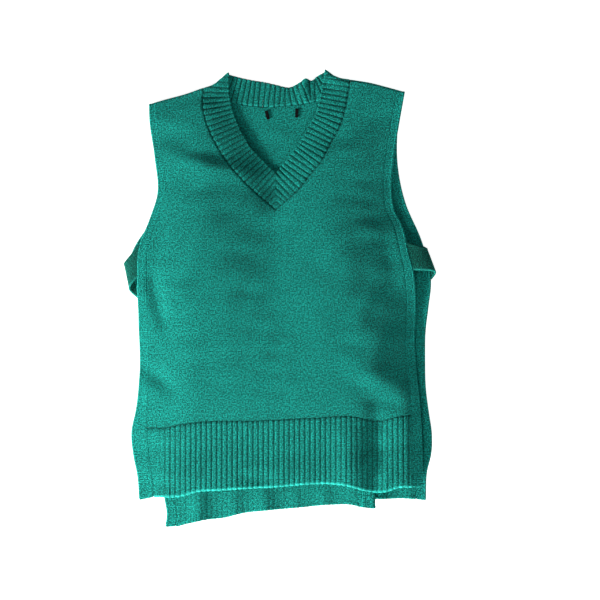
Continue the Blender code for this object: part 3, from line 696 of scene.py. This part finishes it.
def neck_rows(table, count):
    """Rows of the neckband's sewn and free edges on one layer, up to the shoulder fold."""
    rows = smooth_rows(table, count)
    end = table[-1] if abs(table[-1][0]) > abs(table[0][0]) else table[0]
    sewn = fold_rows(end[0])
    free = fold_rows(end[2])
    if end is table[0]:
        rows = rows[::-1]
    return np.vstack([rows[:, :2], sewn]), np.vstack([rows[:, 2:], free])


def shifted(points, towards, distance):
    """Points moved by a distance towards other points."""
    way = towards - points
    return points + distance * way / np.linalg.norm(way, axis=1, keepdims=True)


def between(outer, inner, columns, profiles=()):
    """Grid of points between two edges. Each profile bows the rows after a curve, by a weight per row."""
    share = np.linspace(0, 1, columns + 1)
    x = blend(outer[:, :1], inner[:, :1], share)
    y = blend(outer[:, 1:], inner[:, 1:], share)
    for curve, weight in profiles:
        straight = blend(curve(outer[:, :1]), curve(inner[:, :1]), share)
        y = y + weight[:, None] * (curve(x) - straight)
    return x, y


def draw_in(row, *edges):
    """Ends the edges half a seam short at their first row (0) or their last (-1)."""
    way = 1 if row == 0 else -1
    for edge in edges:
        edge[row, 1] += way * SEAM_GAP / 2


def fold_weight(rows):
    """1 on the rows that turn over the shoulder, fading to 0 below them."""
    below = fold_height(rows[:, 0]) - rows[:, 1] - FOLD_ARC
    return near(below, FOLD_FADE)


# Meshes


class Cloth:
    """Grid patches of one piece, welded where their points coincide, with values carried by each point."""

    def __init__(self):
        self.grids = []

    def add(self, grid_x, grid_y, layer, **values):
        self.grids.append((grid_x, layer * (fold_height(grid_x) - grid_y), values))

    def weld(self):
        """Points as x and away, their values, and the quads between them."""
        points = np.vstack([np.column_stack([x.ravel(), away.ravel()]) for x, away, _ in self.grids])
        rounded = np.round(points, WELD_DIGITS)
        _, first, place = np.unique(rounded, axis=0, return_index=True, return_inverse=True)
        place = place.ravel()
        quads = []
        start = 0
        for x, _, _ in self.grids:
            spots = place[start : start + x.size].reshape(x.shape)
            start += x.size
            quads.append(grid_quads(spots))
        names = self.grids[0][2]
        values = {n: np.concatenate([g[2][n].ravel() for g in self.grids])[first] for n in names}
        return points[first], values, np.vstack(quads)


def grid_quads(spots):
    """Quads of a grid of point numbers."""
    corners = (spots[:-1, :-1], spots[:-1, 1:], spots[1:, 1:], spots[1:, :-1])
    return np.column_stack([c.ravel() for c in corners])


def turned_out(middle, normal, quads):
    """The quads, each turned to face along the normal."""
    sides = (middle[quads[:, 1]] - middle[quads[:, 0]], middle[quads[:, 2]] - middle[quads[:, 0]])
    wrong = (np.cross(*sides) * normal[quads[:, 0]]).sum(axis=1) < 0
    quads[wrong] = quads[wrong][:, ::-1]
    return quads


def open_edges(quads):
    """Directed edges that only one quad has."""
    edges = np.vstack([quads[:, [i, (i + 1) % 4]] for i in range(4)])
    low = edges.min(axis=1)
    high = edges.max(axis=1)
    _, first, count = np.unique(low * (quads.max() + 1) + high, return_index=True, return_counts=True)
    return edges[first[count == 1]]


def new_object(name, data):
    thing = bpy.data.objects.new(name, data)
    bpy.context.scene.collection.objects.link(thing)
    return thing


def add_wall(name, middle, normal, quads, above, below, values, material):
    """Closed wall with its own thickness above and below the middle at each point, and a rounded rim."""
    count = len(middle)
    quads = turned_out(middle, normal, quads)
    edges = open_edges(quads)
    rim = np.unique(edges)
    number = np.full(count, -1)
    number[rim] = np.arange(len(rim))
    rings = rim_rings(middle, normal, edges, rim, above, below, values["sewn"])
    points = np.vstack([middle + normal * above[:, None], middle - normal * below[:, None], *rings])
    firsts = [2 * count + i * len(rim) for i in range(len(rings))]
    levels = [edges, *(first + number[edges] for first in firsts), count + edges]
    faces = [quads, quads[:, ::-1] + count]
    for upper, lower in zip(levels, levels[1:]):
        faces.append(np.column_stack([upper[:, 1], upper[:, 0], lower[:, 0], lower[:, 1]]))
    mesh = bpy.data.meshes.new(f"cloth_{name}")
    mesh.from_pydata(points.tolist(), [], np.vstack(faces).tolist())
    carried = {key: np.concatenate([v, v, v[rim], v[rim], v[rim]]) for key, v in values.items()}
    for key in ("groove", "bright"):
        attribute = mesh.attributes.new(key, "FLOAT", "POINT")
        attribute.data.foreach_set("value", carried[key].astype(np.float32))
    corner = np.empty(len(mesh.loops), np.int32)
    mesh.loops.foreach_get("vertex_index", corner)
    flat = np.column_stack([carried["u"], carried["v"]])[corner]
    mesh.uv_layers.new(name=UV_NAME).data.foreach_set("uv", flat.astype(np.float32).ravel())
    mesh.shade_smooth()
    mesh.materials.append(material)
    mesh.update()
    return new_object(f"cloth_{name}", mesh)


def rim_rings(middle, normal, edges, rim, above, below, sewn):
    """Three rings of points round the wall's rim: full and round where it is open, shallow where sewn."""
    outward = np.zeros_like(middle)
    along = middle[edges[:, 1]] - middle[edges[:, 0]]
    for end in (0, 1):
        np.add.at(outward, edges[:, end], np.cross(along, normal[edges[:, end]]))
    outward = outward[rim] / np.linalg.norm(outward[rim], axis=1, keepdims=True)
    reach = (above + below)[rim, None] / 2
    centre = middle[rim] + normal[rim] * ((above - below)[rim, None] / 2)
    bulge = outward * blend(1, SEWN_BULGE, sewn[rim, None])
    slant = blend(HALF_WAY, SEWN_SLANT, sewn[rim, None])
    turns = ((HALF_WAY, slant), (1, 0), (HALF_WAY, -slant))
    return [centre + (bulge * out + normal[rim] * up) * reach for out, up in turns]


def finish_piece(piece, node):
    """Hides the node the piece replaces and attaches the piece to its body."""
    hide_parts(node)
    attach(piece, "root")
    return piece


# Ribs


def rib_profile(phase):
    """Height (0 to 1) and painted shade (0 to 1) across a rib, the shade darkest at the grooves, which are
    at whole phases.
    """
    off = np.abs(phase - np.round(phase))
    height = 1 - (1 - 2 * off) ** RIB_FLATNESS
    return height, np.exp(-((off / GROOVE_SHADE_WIDTH) ** 2))


def front_rib_strength(x):
    """The front rib fades out at its left end, where the band runs wide."""
    start, reach = FRONT_RIB_FADE
    return ease((x - start) / reach)


def back_rib_strength(x):
    return BACK_RIB_STRENGTH + 0 * x


def band_stations(sewn, free, x, y):
    """How far along the band's middle line each point is, the line running straight on past both ends."""
    line = (sewn + free) / 2
    step = np.diff(line, axis=0)
    size = np.linalg.norm(step, axis=1)
    unit = step / size[:, None]
    length = np.concatenate([[0], np.cumsum(size)[:-1]])
    low = np.where(np.arange(len(size)) == 0, -np.inf, 0)
    high = np.append(size[:-1], np.inf)
    offset = np.stack([x, y], axis=-1)[..., None, :] - line[:-1]
    held = np.clip((offset * unit).sum(axis=-1), low, high)
    away = np.linalg.norm(offset - held[..., None] * unit, axis=-1)
    nearest = away.argmin(axis=-1)[..., None]
    return np.take_along_axis(length + held, nearest, axis=-1)[..., 0]


# Pieces that follow the laid cloth. Each point carries u and v for the material, how rolled the wall is,
# how much painted shade darkens it in grooves and seams, how much painted highlight lights its edge, and
# whether its rim is sewn.


def zeros(grid):
    return np.zeros(grid.shape)


def row_marks(grid, row):
    """1 on one row of the grid, 0 elsewhere."""
    marks = zeros(grid)
    marks[row] = 1
    return marks


class Layer:
    """The front (side 1) or the back (side -1): its side edges, its neck edges and its centre line."""

    def __init__(self, name, side, edges, hem, seam, bands, neck_start, counts):
        self.name = name
        self.side = side
        self.hem = hem
        self.seam = seam
        self.columns, self.hem_columns, self.body_rows, self.neck_rows = counts
        self.edges = [Edge(table, hem, seam, neck_start, self.body_rows, self.neck_rows) for table in edges]
        self.necks = [neck_rows(table, self.neck_rows) for table in bands]
        start_x, start_y = bands[0][0][:2] if side > 0 else bands[0][-1][:2]
        seam_y = smooth(seam, start_x)
        hem_part = np.linspace(smooth(hem, start_x), seam_y, HEM_ROWS + 1)
        body_part = np.linspace(seam_y, start_y, self.body_rows + 1)[1:]
        heights = np.concatenate([hem_part, body_part])
        self.centre = np.column_stack([np.full(len(heights), start_x), heights])

    def make(self, node, cloth, material):
        """The piece's wall, with its ribs and rolls on the face that shows."""
        points, values, quads = cloth.weld()
        x, away = points.T
        shown = WALL / 2 + ROLL_HEIGHT * values["rolled"]
        if "rib" in values:
            shown = shown + RIB_HEIGHT * (values["rib"] - RIB_BASE)
        plain = np.full(len(x), WALL / 2)
        faces = (shown, plain) if self.side > 0 else (plain, shown)
        piece = add_wall(node, lay(x, away), lay_normal(x, away), quads, *faces, values, material)
        return finish_piece(piece, node)

    def add_band(self, edge, node, material):
        """Narrow band of one open side, from the hem to the shoulder fold, with a rolled outer edge."""
        outer = edge.outer.copy()
        inner = edge.inner.copy()
        inner[:, 0] -= edge.inward * SEAM_GAP / 2
        draw_in(-1, outer, inner)
        grid_x, grid_y = between(outer, inner, BAND_COLUMNS)
        share = np.linspace(0, 1, BAND_COLUMNS + 1)[None, :] + zeros(grid_x)
        width = np.linalg.norm(outer - inner, axis=1)[:, None]
        roll = near(share * width, BAND_ROLL_REACH)
        cloth = Cloth()
        cloth.add(
            grid_x,
            grid_y,
            self.side,
            u=share * width,
            v=grid_y,
            # painted shade along the band's seam
            groove=BAND_SEAM_SHADE * near(1 - share, BAND_SEAM_SHARE),
            rolled=roll,
            # painted highlight on the band's rolled edge
            bright=BAND_PAINTED_HIGHLIGHT * roll,
            sewn=np.maximum(share == 1, row_marks(grid_x, -1)) + 0.0,
        )
        return self.make(node, cloth, material)

    def hem_profiles(self, rows):
        share = np.linspace(0, 1, rows)
        return [(lambda x: smooth(self.hem, x), 1 - share), (lambda x: smooth(self.seam, x), share)]

    def add_hem(self, node, material, rib_strength):
        """Wide rib from the body's seam to the hem, whose edge rolls and is scalloped by the ribs."""
        cloth = Cloth()
        rows = HEM_ROWS + 1
        for edge in self.edges:
            outer = edge.inner[:rows].copy()
            outer[:, 0] += edge.inward * SEAM_GAP / 2
            inner = self.centre[:rows].copy()
            draw_in(-1, outer, inner)
            grid_x, grid_y = between(outer, inner, self.hem_columns, self.hem_profiles(rows))
            height, groove = rib_profile(grid_x / RIB_PITCH)
            share = np.linspace(0, 1, rows)[:, None] + zeros(grid_x)
            strength = rib_strength(grid_x)
            roll = near(share * HEM_DEPTH, ROLL_REACH)
            seam = near((1 - share) * HEM_DEPTH, HEM_SEAM_REACH)
            side = near(np.abs(grid_x - outer[:, :1]), SIDE_SEAM_REACH)
            # painted shade in the rib grooves, at the seam and at the sides
            dark = HEM_RIB_SHADE * groove * strength * (1 - roll)
            cloth.add(
                grid_x,
                grid_y - HEM_SCALLOP * roll * (height - 0.5) * strength,
                self.side,
                u=grid_x,
                v=grid_y,
                rib=blend(RIB_BASE, height, strength) - SEAM_SINK * seam - HEM_SIDE_SINK * side,
                groove=np.clip(dark + HEM_SEAM_SHADE * seam + HEM_SIDE_SHADE * side, 0, 1),
                rolled=HEM_ROLL * roll,
                # painted highlight on the front hem's rolled edge
                bright=HEM_PAINTED_HIGHLIGHT * roll * (self.side > 0),
                sewn=np.maximum(share == 1, grid_x == outer[:, :1]) + 0.0,
            )
        return self.make(node, cloth, material)

    def add_panel(self, node, material):
        """Plain body from the hem rib's seam to the shoulder folds, with the neck cut out of it."""
        cloth = Cloth()
        shown = self.side > 0
        neck_seam_shade = FRONT_NECK_SHADE if shown else BACK_NECK_SHADE
        for edge, (sewn, free) in zip(self.edges, self.necks):
            outer = edge.inner[HEM_ROWS:].copy()
            outer[:, 0] += edge.inward * SEAM_GAP / 2
            neck = shifted(sewn, free, -SEAM_GAP / 2)
            neck[0] = self.centre[-1] - (0, SEAM_GAP / 2)
            inner = np.vstack([self.centre[HEM_ROWS:-1], neck])
            draw_in(0, outer, inner)
            draw_in(-1, outer, inner)
            seam_weight = near(outer[:, 1] - outer[0, 1], SEAM_FADE)
            profiles = [(lambda x: smooth(self.seam, x), seam_weight), (fold_height, fold_weight(outer))]
            grid_x, grid_y = between(outer, inner, self.columns, profiles)
            seam = near(grid_y - grid_y[:1], PANEL_SEAM_REACH)
            side = near(np.abs(grid_x - outer[:, :1]), SIDE_SEAM_REACH)
            gap = np.linalg.norm(np.stack([grid_x - inner[:, :1], grid_y - inner[:, 1:]]), axis=0)
            beside_neck = np.arange(len(grid_x))[:, None] >= self.body_rows
            collar = near(np.where(beside_neck, gap, np.inf), PANEL_SEAM_REACH)
            # painted shade along the hem seam, the side seams and the neck seam
            groove = PANEL_SEAM_SHADE * seam + PANEL_SIDE_SHADE * side + neck_seam_shade * collar
            cloth.add(
                grid_x,
                grid_y,
                self.side,
                u=grid_x,
                v=grid_y,
                groove=np.clip(groove, 0, 1),
                rolled=-SEAM_SINK * collar * shown,
                bright=zeros(grid_x),
                sewn=np.ones(grid_x.shape),
            )
        return self.make(node, cloth, material)


def add_neckband(node, front, back, shift, material):
    """Rib band from the V's point over the shoulder to the back join, as one strip."""
    cloth = Cloth()
    share = np.linspace(0, 1, NECKBAND_COLUMNS + 1)[None, :]
    lengths = []
    for (sewn, free), layer in ((front, 1), (back, -1)):
        sewn = shifted(sewn, free, SEAM_GAP / 2)
        free = free.copy()
        sewn[0, 0] += shift
        free[0, 0] += shift
        grid_x, grid_y = between(sewn, free, NECKBAND_COLUMNS, [(fold_height, fold_weight(sewn))])
        grid_y[-1] = fold_height(grid_x[-1])
        station = band_stations(sewn, free, grid_x, grid_y)
        lengths.append(np.linalg.norm(np.diff((sewn + free) / 2, axis=0), axis=1).sum())
        if layer < 0:
            station = sum(lengths) - station
        height, groove = rib_profile(station / BAND_RIB_PITCH + 0.5)
        across = share + zeros(grid_x)
        depth = np.linalg.norm(free - sewn, axis=1)[:, None] * across
        seam = near(depth, NECK_SEAM_REACH)
        away = fold_height(grid_x) - grid_y
        highlight_least, highlight_more = NECK_SEAM_PAINTED_HIGHLIGHT
        cloth.add(
            grid_x,
            grid_y,
            layer,
            u=station,
            v=depth,
            rib=height - SEAM_SINK * seam,
            # painted shade in the rib grooves and along the front's seam
            groove=np.clip(groove + NECK_SEAM_SHADE * (layer > 0) * seam, 0, 1),
            rolled=NECK_ROLL * near(1 - across, NECK_ROLL_SHARE),
            # painted highlight beside the back's seam
            bright=(layer < 0) * seam * (highlight_least + highlight_more * height),
            sewn=np.maximum(across == 0, row_marks(grid_x, 0)) + 0.0,
            lift=BAND_LIFT * across**2 * ease((away - FOLD_ARC) / FOLD_FADE) * (layer > 0),
            over=ease(layer * away / NECK_OVER_REACH + 0.5),
        )
    points, values, quads = cloth.weld()
    x, away = points.T
    middle = lay(x, away)
    middle[:, 2] += values["lift"]
    ribs = RIB_HEIGHT * (values["rib"] - RIB_BASE)
    up = WALL / 2 + (ribs + ROLL_HEIGHT * values["rolled"]) * values["over"]
    down = WALL / 2 + NECK_UNDER_RIBS * ribs
    piece = add_wall(node, middle, lay_normal(x, away), quads, up, down, values, material)
    return finish_piece(piece, node)


# Side tabs and label stubs


def tab_edge(front_end, turn, back_end):
    """Curve from the front, out round the turn and back under to the back, level at both ends."""
    handle = (8 * np.array(turn) - front_end[:2] - back_end[:2]) / 6  # the middle passes through the turn
    controls = np.array([front_end, [*handle, front_end[2]], [*handle, back_end[2]], back_end])
    t = np.linspace(0, 1, TAB_STEPS + 1)[:, None]
    weights = ((1 - t) ** 3, 3 * (1 - t) ** 2 * t, 3 * (1 - t) * t**2, t**3)
    return sum(weight * control for weight, control in zip(weights, controls))


def edge_point(edge, y, layer, gap):
    """Point a gap outside an open edge, at the height of its cloth."""
    x = edge.x(y, 0)
    point = lay(x, layer * (fold_height(x) - y))
    point[0] -= edge.inward * gap
    return point


def add_tab(node, tab, front_edge, back_edge, material):
    """Knitted strap that joins the front's open side to the back's, with rolled edges."""
    share = np.linspace(0, 1, TAB_COLUMNS + 1)
    rows = []
    for across in share:
        start = edge_point(front_edge, blend(*tab["front_y"], across), 1, TAB_GAP)
        end = edge_point(back_edge, blend(*tab["back_y"], across), -1, TAB_GAP)
        end[2] = TAB_WALL / 2
        upper, lower = np.array(tab["turn"])
        rows.append(tab_edge(start, blend(upper, lower, across), end))
    grid = np.array(rows)
    normal = np.cross(np.gradient(grid, axis=0), np.gradient(grid, axis=1))
    normal /= np.linalg.norm(normal, axis=-1, keepdims=True)
    normal *= -np.sign(front_edge.inward * normal[..., 0].sum())
    steps = np.linalg.norm(np.diff(grid[len(grid) // 2], axis=0), axis=1)
    run = np.concatenate([[0], np.cumsum(steps)])
    width = np.linalg.norm(grid[-1] - grid[0], axis=1)[None, :]
    across = share[:, None] * width
    lower_edge = near(width - across, ROLL_REACH)
    ends = near(run, SIDE_SEAM_REACH) + near(run[-1] - run, SIDE_SEAM_REACH) + zeros(across)
    values = {
        "u": across.ravel(),
        "v": (run + zeros(across)).ravel(),
        # painted shade at the sewn ends
        "groove": TAB_END_SHADE * np.clip(ends, 0, 1).ravel(),
        "rolled": (near(across, ROLL_REACH) + lower_edge).ravel(),
        # painted highlight on the lower rolled edge
        "bright": TAB_PAINTED_HIGHLIGHT * lower_edge.ravel(),
        "sewn": (ends >= 1).ravel() + 0.0,
    }
    spots = np.arange(across.size).reshape(across.shape)
    above = TAB_WALL / 2 + TAB_ROLL_HEIGHT * values["rolled"]
    below = np.full(above.shape, TAB_WALL / 2)
    flat = (grid.reshape(-1, 3), normal.reshape(-1, 3))
    piece = add_wall(node, *flat, grid_quads(spots), above, below, values, material)
    return finish_piece(piece, node)


def add_stub(node, middle_x, middle_y, lean, material):
    """Short end of a cut-off label, on the inside of the back."""
    turn = math.radians(lean)
    width, length = STUB_SIZE
    across = np.linspace(-0.5, 0.5, STUB_COLUMNS + 1)[None, :] * width
    along = np.linspace(-0.5, 0.5, STUB_ROWS + 1)[:, None] * length
    x = (middle_x + across * math.cos(turn) - along * math.sin(turn)).ravel()
    y = (middle_y + across * math.sin(turn) + along * math.cos(turn)).ravel()
    inside = -lay_normal(x, y - fold_height(x))
    middle = lay(x, y - fold_height(x)) + inside * (WALL / 2 + STUB_GAP + STUB_WALL / 2)
    values = {"u": x, "v": y, "groove": 0 * x, "bright": 0 * x, "sewn": 0 * x}
    spots = np.arange(x.size).reshape(STUB_ROWS + 1, STUB_COLUMNS + 1)
    half = np.full(x.size, STUB_WALL / 2)
    piece = add_wall(node, middle, inside, grid_quads(spots), half, half, values, material)
    return finish_piece(piece, node)


# Materials


class Nodes:
    """Short calls for making a material's nodes."""

    def __init__(self, name):
        self.material = bpy.data.materials.new(name)
        self.material.use_nodes = True
        self.tree = self.material.node_tree
        self.shader = self.tree.nodes["Principled BSDF"]

    def link(self, value, socket):
        if isinstance(value, bpy.types.NodeSocket):
            self.tree.links.new(value, socket)
        else:
            socket.default_value = value

    def shade(self, **values):
        """Values for the shader's inputs, their names with underscores for spaces."""
        for name, value in values.items():
            self.link(value, self.shader.inputs[name.replace("_", " ")])

    def math(self, operation, first, second=0.0, third=0.0):
        node = self.tree.nodes.new("ShaderNodeMath")
        node.operation = operation
        for value, socket in zip((first, second, third), node.inputs):
            self.link(value, socket)
        return node.outputs[0]

    def scaled(self, value, factor, more=0.0):
        """The value times a factor, with more added."""
        return self.math("MULTIPLY_ADD", value, factor, more)

    def clamped(self, value):
        return self.math("MAXIMUM", self.math("MINIMUM", value, 1.0), 0.0)

    def add(self, kind, **inputs):
        """A new node's outputs, once its inputs are given."""
        node = self.tree.nodes.new(f"ShaderNode{kind}")
        for name, value in inputs.items():
            self.link(value, node.inputs[name])
        return node.outputs

    def attribute(self, name):
        node = self.tree.nodes.new("ShaderNodeAttribute")
        node.attribute_name = name
        return node.outputs["Fac"]

    def uv(self):
        node = self.tree.nodes.new("ShaderNodeUVMap")
        node.uv_map = UV_NAME
        return node.outputs[0]

    def noise(self, vector, scale, detail, roughness):
        return self.add("TexNoise", Vector=vector, Scale=scale, Detail=detail, Roughness=roughness)["Fac"]

    def mix(self, share, first, second):
        node = self.tree.nodes.new("ShaderNodeMix")
        node.data_type = "RGBA"
        self.link(share, node.inputs["Factor"])
        self.link(first, node.inputs["A"])
        self.link(second, node.inputs["B"])
        return node.outputs["Result"]

    def bump(self, height, distance, strength):
        self.shade(Normal=self.add("Bump", Height=height, Distance=distance, Strength=strength)[0])


def stitches(nodes, u, v, wale, course):
    """Height of plain-knit stitches: columns of V shapes."""
    column = nodes.math("FRACT", nodes.math("DIVIDE", u, wale))
    side = nodes.math("ABSOLUTE", nodes.scaled(column, 2.0, -1.0))
    off_leg = nodes.math("ABSOLUTE", nodes.scaled(side, 2.0, -1.0))
    leg = nodes.math("SUBTRACT", 1.0, nodes.math("POWER", off_leg, 2.0))
    slant = nodes.math("MULTIPLY", side, STITCH_SLANT)
    turn = nodes.scaled(nodes.math("DIVIDE", v, course), 2 * math.pi, slant)
    loop = nodes.scaled(nodes.math("SINE", turn), 0.5, 0.5)
    return nodes.math("MULTIPLY", leg, nodes.scaled(loop, 1 - STITCH_FLOOR, STITCH_FLOOR))


def knit_material(name, dark, light, wale, course, depth):
    """Soft wool knit: stitches, loose fibres and a slightly uneven dye, with painted shade between the
    stitches, in grooves and at seams, and a painted highlight on edges.
    """
    nodes = Nodes(name)
    place = nodes.uv()
    u, v, _ = nodes.add("SeparateXYZ", Vector=place)
    u = nodes.scaled(nodes.math("SUBTRACT", nodes.noise(place, *SIDE_DRIFT), 0.5), SIDE_DRIFT_SIZE, u)
    v = nodes.scaled(nodes.math("SUBTRACT", nodes.noise(place, *ROW_DRIFT), 0.5), ROW_DRIFT_SIZE, v)
    knit = stitches(nodes, u, v, wale, course)
    fuzz = nodes.noise(place, *FUZZ)
    height = nodes.scaled(nodes.noise(place, *FIBRE), FIBRE_HEIGHT, nodes.scaled(fuzz, FUZZ_HEIGHT, knit))
    nodes.bump(height, depth, 1.0)
    speckle = nodes.scaled(fuzz, FUZZ_TONE, -FUZZ_TONE / 2)
    # painted shade between the stitch loops, with the fuzz speckle and the dye tone
    tone = nodes.scaled(knit, STITCH_PAINTED_SHADE, nodes.scaled(nodes.noise(place, *DYE), DYE_TONE, speckle))
    color = nodes.mix(nodes.clamped(tone), dark, light)
    # painted highlight on edges that would catch the light
    bright = nodes.math("MULTIPLY", nodes.clamped(nodes.attribute("bright")), PAINTED_HIGHLIGHT_SHARE)
    color = nodes.mix(bright, color, PAINTED_HIGHLIGHT_COLOR)
    # painted shade in rib grooves and along seams
    color = nodes.mix(nodes.math("MULTIPLY", nodes.attribute("groove"), PAINTED_SHADE_SHARE), color, PAINTED_SHADE_COLOR)
    nodes.shade(Base_Color=color, Roughness=nodes.scaled(fuzz, 0.14, 0.80), Specular_IOR_Level=0.10)
    nodes.shade(Sheen_Weight=0.10, Sheen_Roughness=0.45, Sheen_Tint=SHEEN_COLOR)
    return nodes.material


def tape_material():
    """Black woven tape."""
    nodes = Nodes("black_tape")
    place = nodes.uv()
    threads = nodes.add("SeparateXYZ", Vector=place)[:2]
    waves = [nodes.math("SINE", nodes.math("MULTIPLY", thread, 2 * math.pi / WEAVE)) for thread in threads]
    nodes.bump(nodes.math("MULTIPLY", *waves), WEAVE_DEPTH, 0.6)
    color = nodes.mix(nodes.noise(place, *TAPE_NOISE), *TAPE_COLORS)
    nodes.shade(Base_Color=color, Roughness=0.75, Specular_IOR_Level=0.1)
    return nodes.material


# Room


def add_floor():
    corners = [(x * FLOOR_HALF, y * FLOOR_HALF, 0) for x, y in ((-1, -1), (1, -1), (1, 1), (-1, 1))]
    mesh = bpy.data.meshes.new("floor")
    mesh.from_pydata(corners, [], [(0, 1, 2, 3)])
    floor = new_object("floor", mesh)
    floor.location.z = -FLOOR_GAP
    nodes = Nodes("pale_floor")
    nodes.shade(Base_Color=(0.86, 0.86, 0.86, 1), Roughness=0.9)
    nodes.shade(Emission_Color=(1, 1, 1, 1), Emission_Strength=FLOOR_GLOW)
    mesh.materials.append(nodes.material)


def aim(thing, target):
    """Turns a light towards a place."""
    way = np.array(target) - np.array(thing.location)
    level = math.hypot(way[0], way[1])
    thing.rotation_euler = (math.atan2(level, -way[2]), 0, math.atan2(-way[0], way[1]))


def add_light(name, place, target, size, power, color):
    data = bpy.data.lights.new(name, "AREA")
    data.shape = "DISK"
    data.size = size
    data.energy = power
    data.color = color
    light = new_object(name, data)
    light.location = place
    aim(light, target)


def add_camera():
    elevation = math.radians(CAMERA_ELEVATION)
    data = bpy.data.cameras.new("camera")
    data.sensor_width = SENSOR_WIDTH
    data.lens = SENSOR_WIDTH * CAMERA_DISTANCE / VIEW_WIDTH
    camera = new_object("camera", data)
    x, y, z = CAMERA_TARGET
    back = CAMERA_DISTANCE * math.cos(elevation)
    camera.location = (x, y - back, z + CAMERA_DISTANCE * math.sin(elevation))
    camera.rotation_euler = (math.pi / 2 - elevation, 0, 0)
    bpy.context.scene.camera = camera


def set_air():
    world = bpy.data.worlds.new("studio")
    world.use_nodes = True
    background = world.node_tree.nodes["Background"]
    background.inputs["Color"].default_value = (1, 1, 1, 1)
    background.inputs["Strength"].default_value = AIR_STRENGTH
    bpy.context.scene.world = world
    bpy.context.scene.view_settings.view_transform = "Standard"


def build():
    """All the pieces, by the names of the nodes that they replace."""
    knits = {name: knit_material(name, *row) for name, row in KNITS.items()}
    tape = tape_material()
    edges = (FRONT_LEFT_EDGE, FRONT_RIGHT_EDGE)
    bands = (LEFT_BAND_FRONT, RIGHT_BAND_FRONT)
    front = Layer("front", 1, edges, FRONT_HEM, FRONT_SEAM, bands, FRONT_NECK_START, FRONT_COUNTS)
    edges = (BACK_LEFT_EDGE, BACK_RIGHT_EDGE)
    bands = (LEFT_BAND_BACK, RIGHT_BAND_BACK)
    back = Layer("back", -1, edges, BACK_HEM, BACK_SEAM, bands, BACK_NECK_START, BACK_COUNTS)
    made = {
        "front_panel": front.add_panel("front_panel", knits["plain_knit"]),
        "back_panel": back.add_panel("back_panel", knits["plain_knit"]),
        "front_hem_rib": front.add_hem("front_hem_rib", knits["rib_knit"], front_rib_strength),
        "back_hem_rib": back.add_hem("back_hem_rib", knits["rib_knit"], back_rib_strength),
    }
    for layer in (front, back):
        for edge, side in zip(layer.edges, SIDES):
            band = f"{layer.name}_{side}_band"
            made[band] = layer.add_band(edge, band, knits["fine_edging"])
    for side, sign, *parts in zip(SIDES, (-1, 1), front.necks, back.necks, front.edges, back.edges):
        front_neck, back_neck, front_edge, back_edge = parts
        neckband = f"neckband_{side}"
        gap = sign * SEAM_GAP / 2
        made[neckband] = add_neckband(neckband, front_neck, back_neck, gap, knits["rib_knit"])
        tab = f"{side}_tab"
        # the tabs take the darker knit, which is painted shade
        made[tab] = add_tab(tab, TABS[side], front_edge, back_edge, knits["tab_knit_painted_shade"])
        stub = f"label_stub_{side}"
        made[stub] = add_stub(stub, *STUBS[side], tape)
    return made


def main():
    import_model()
    made = build()
    add_floor()
    for name, row in LIGHTS.items():
        add_light(name, *row)
    add_camera()
    set_air()


main()
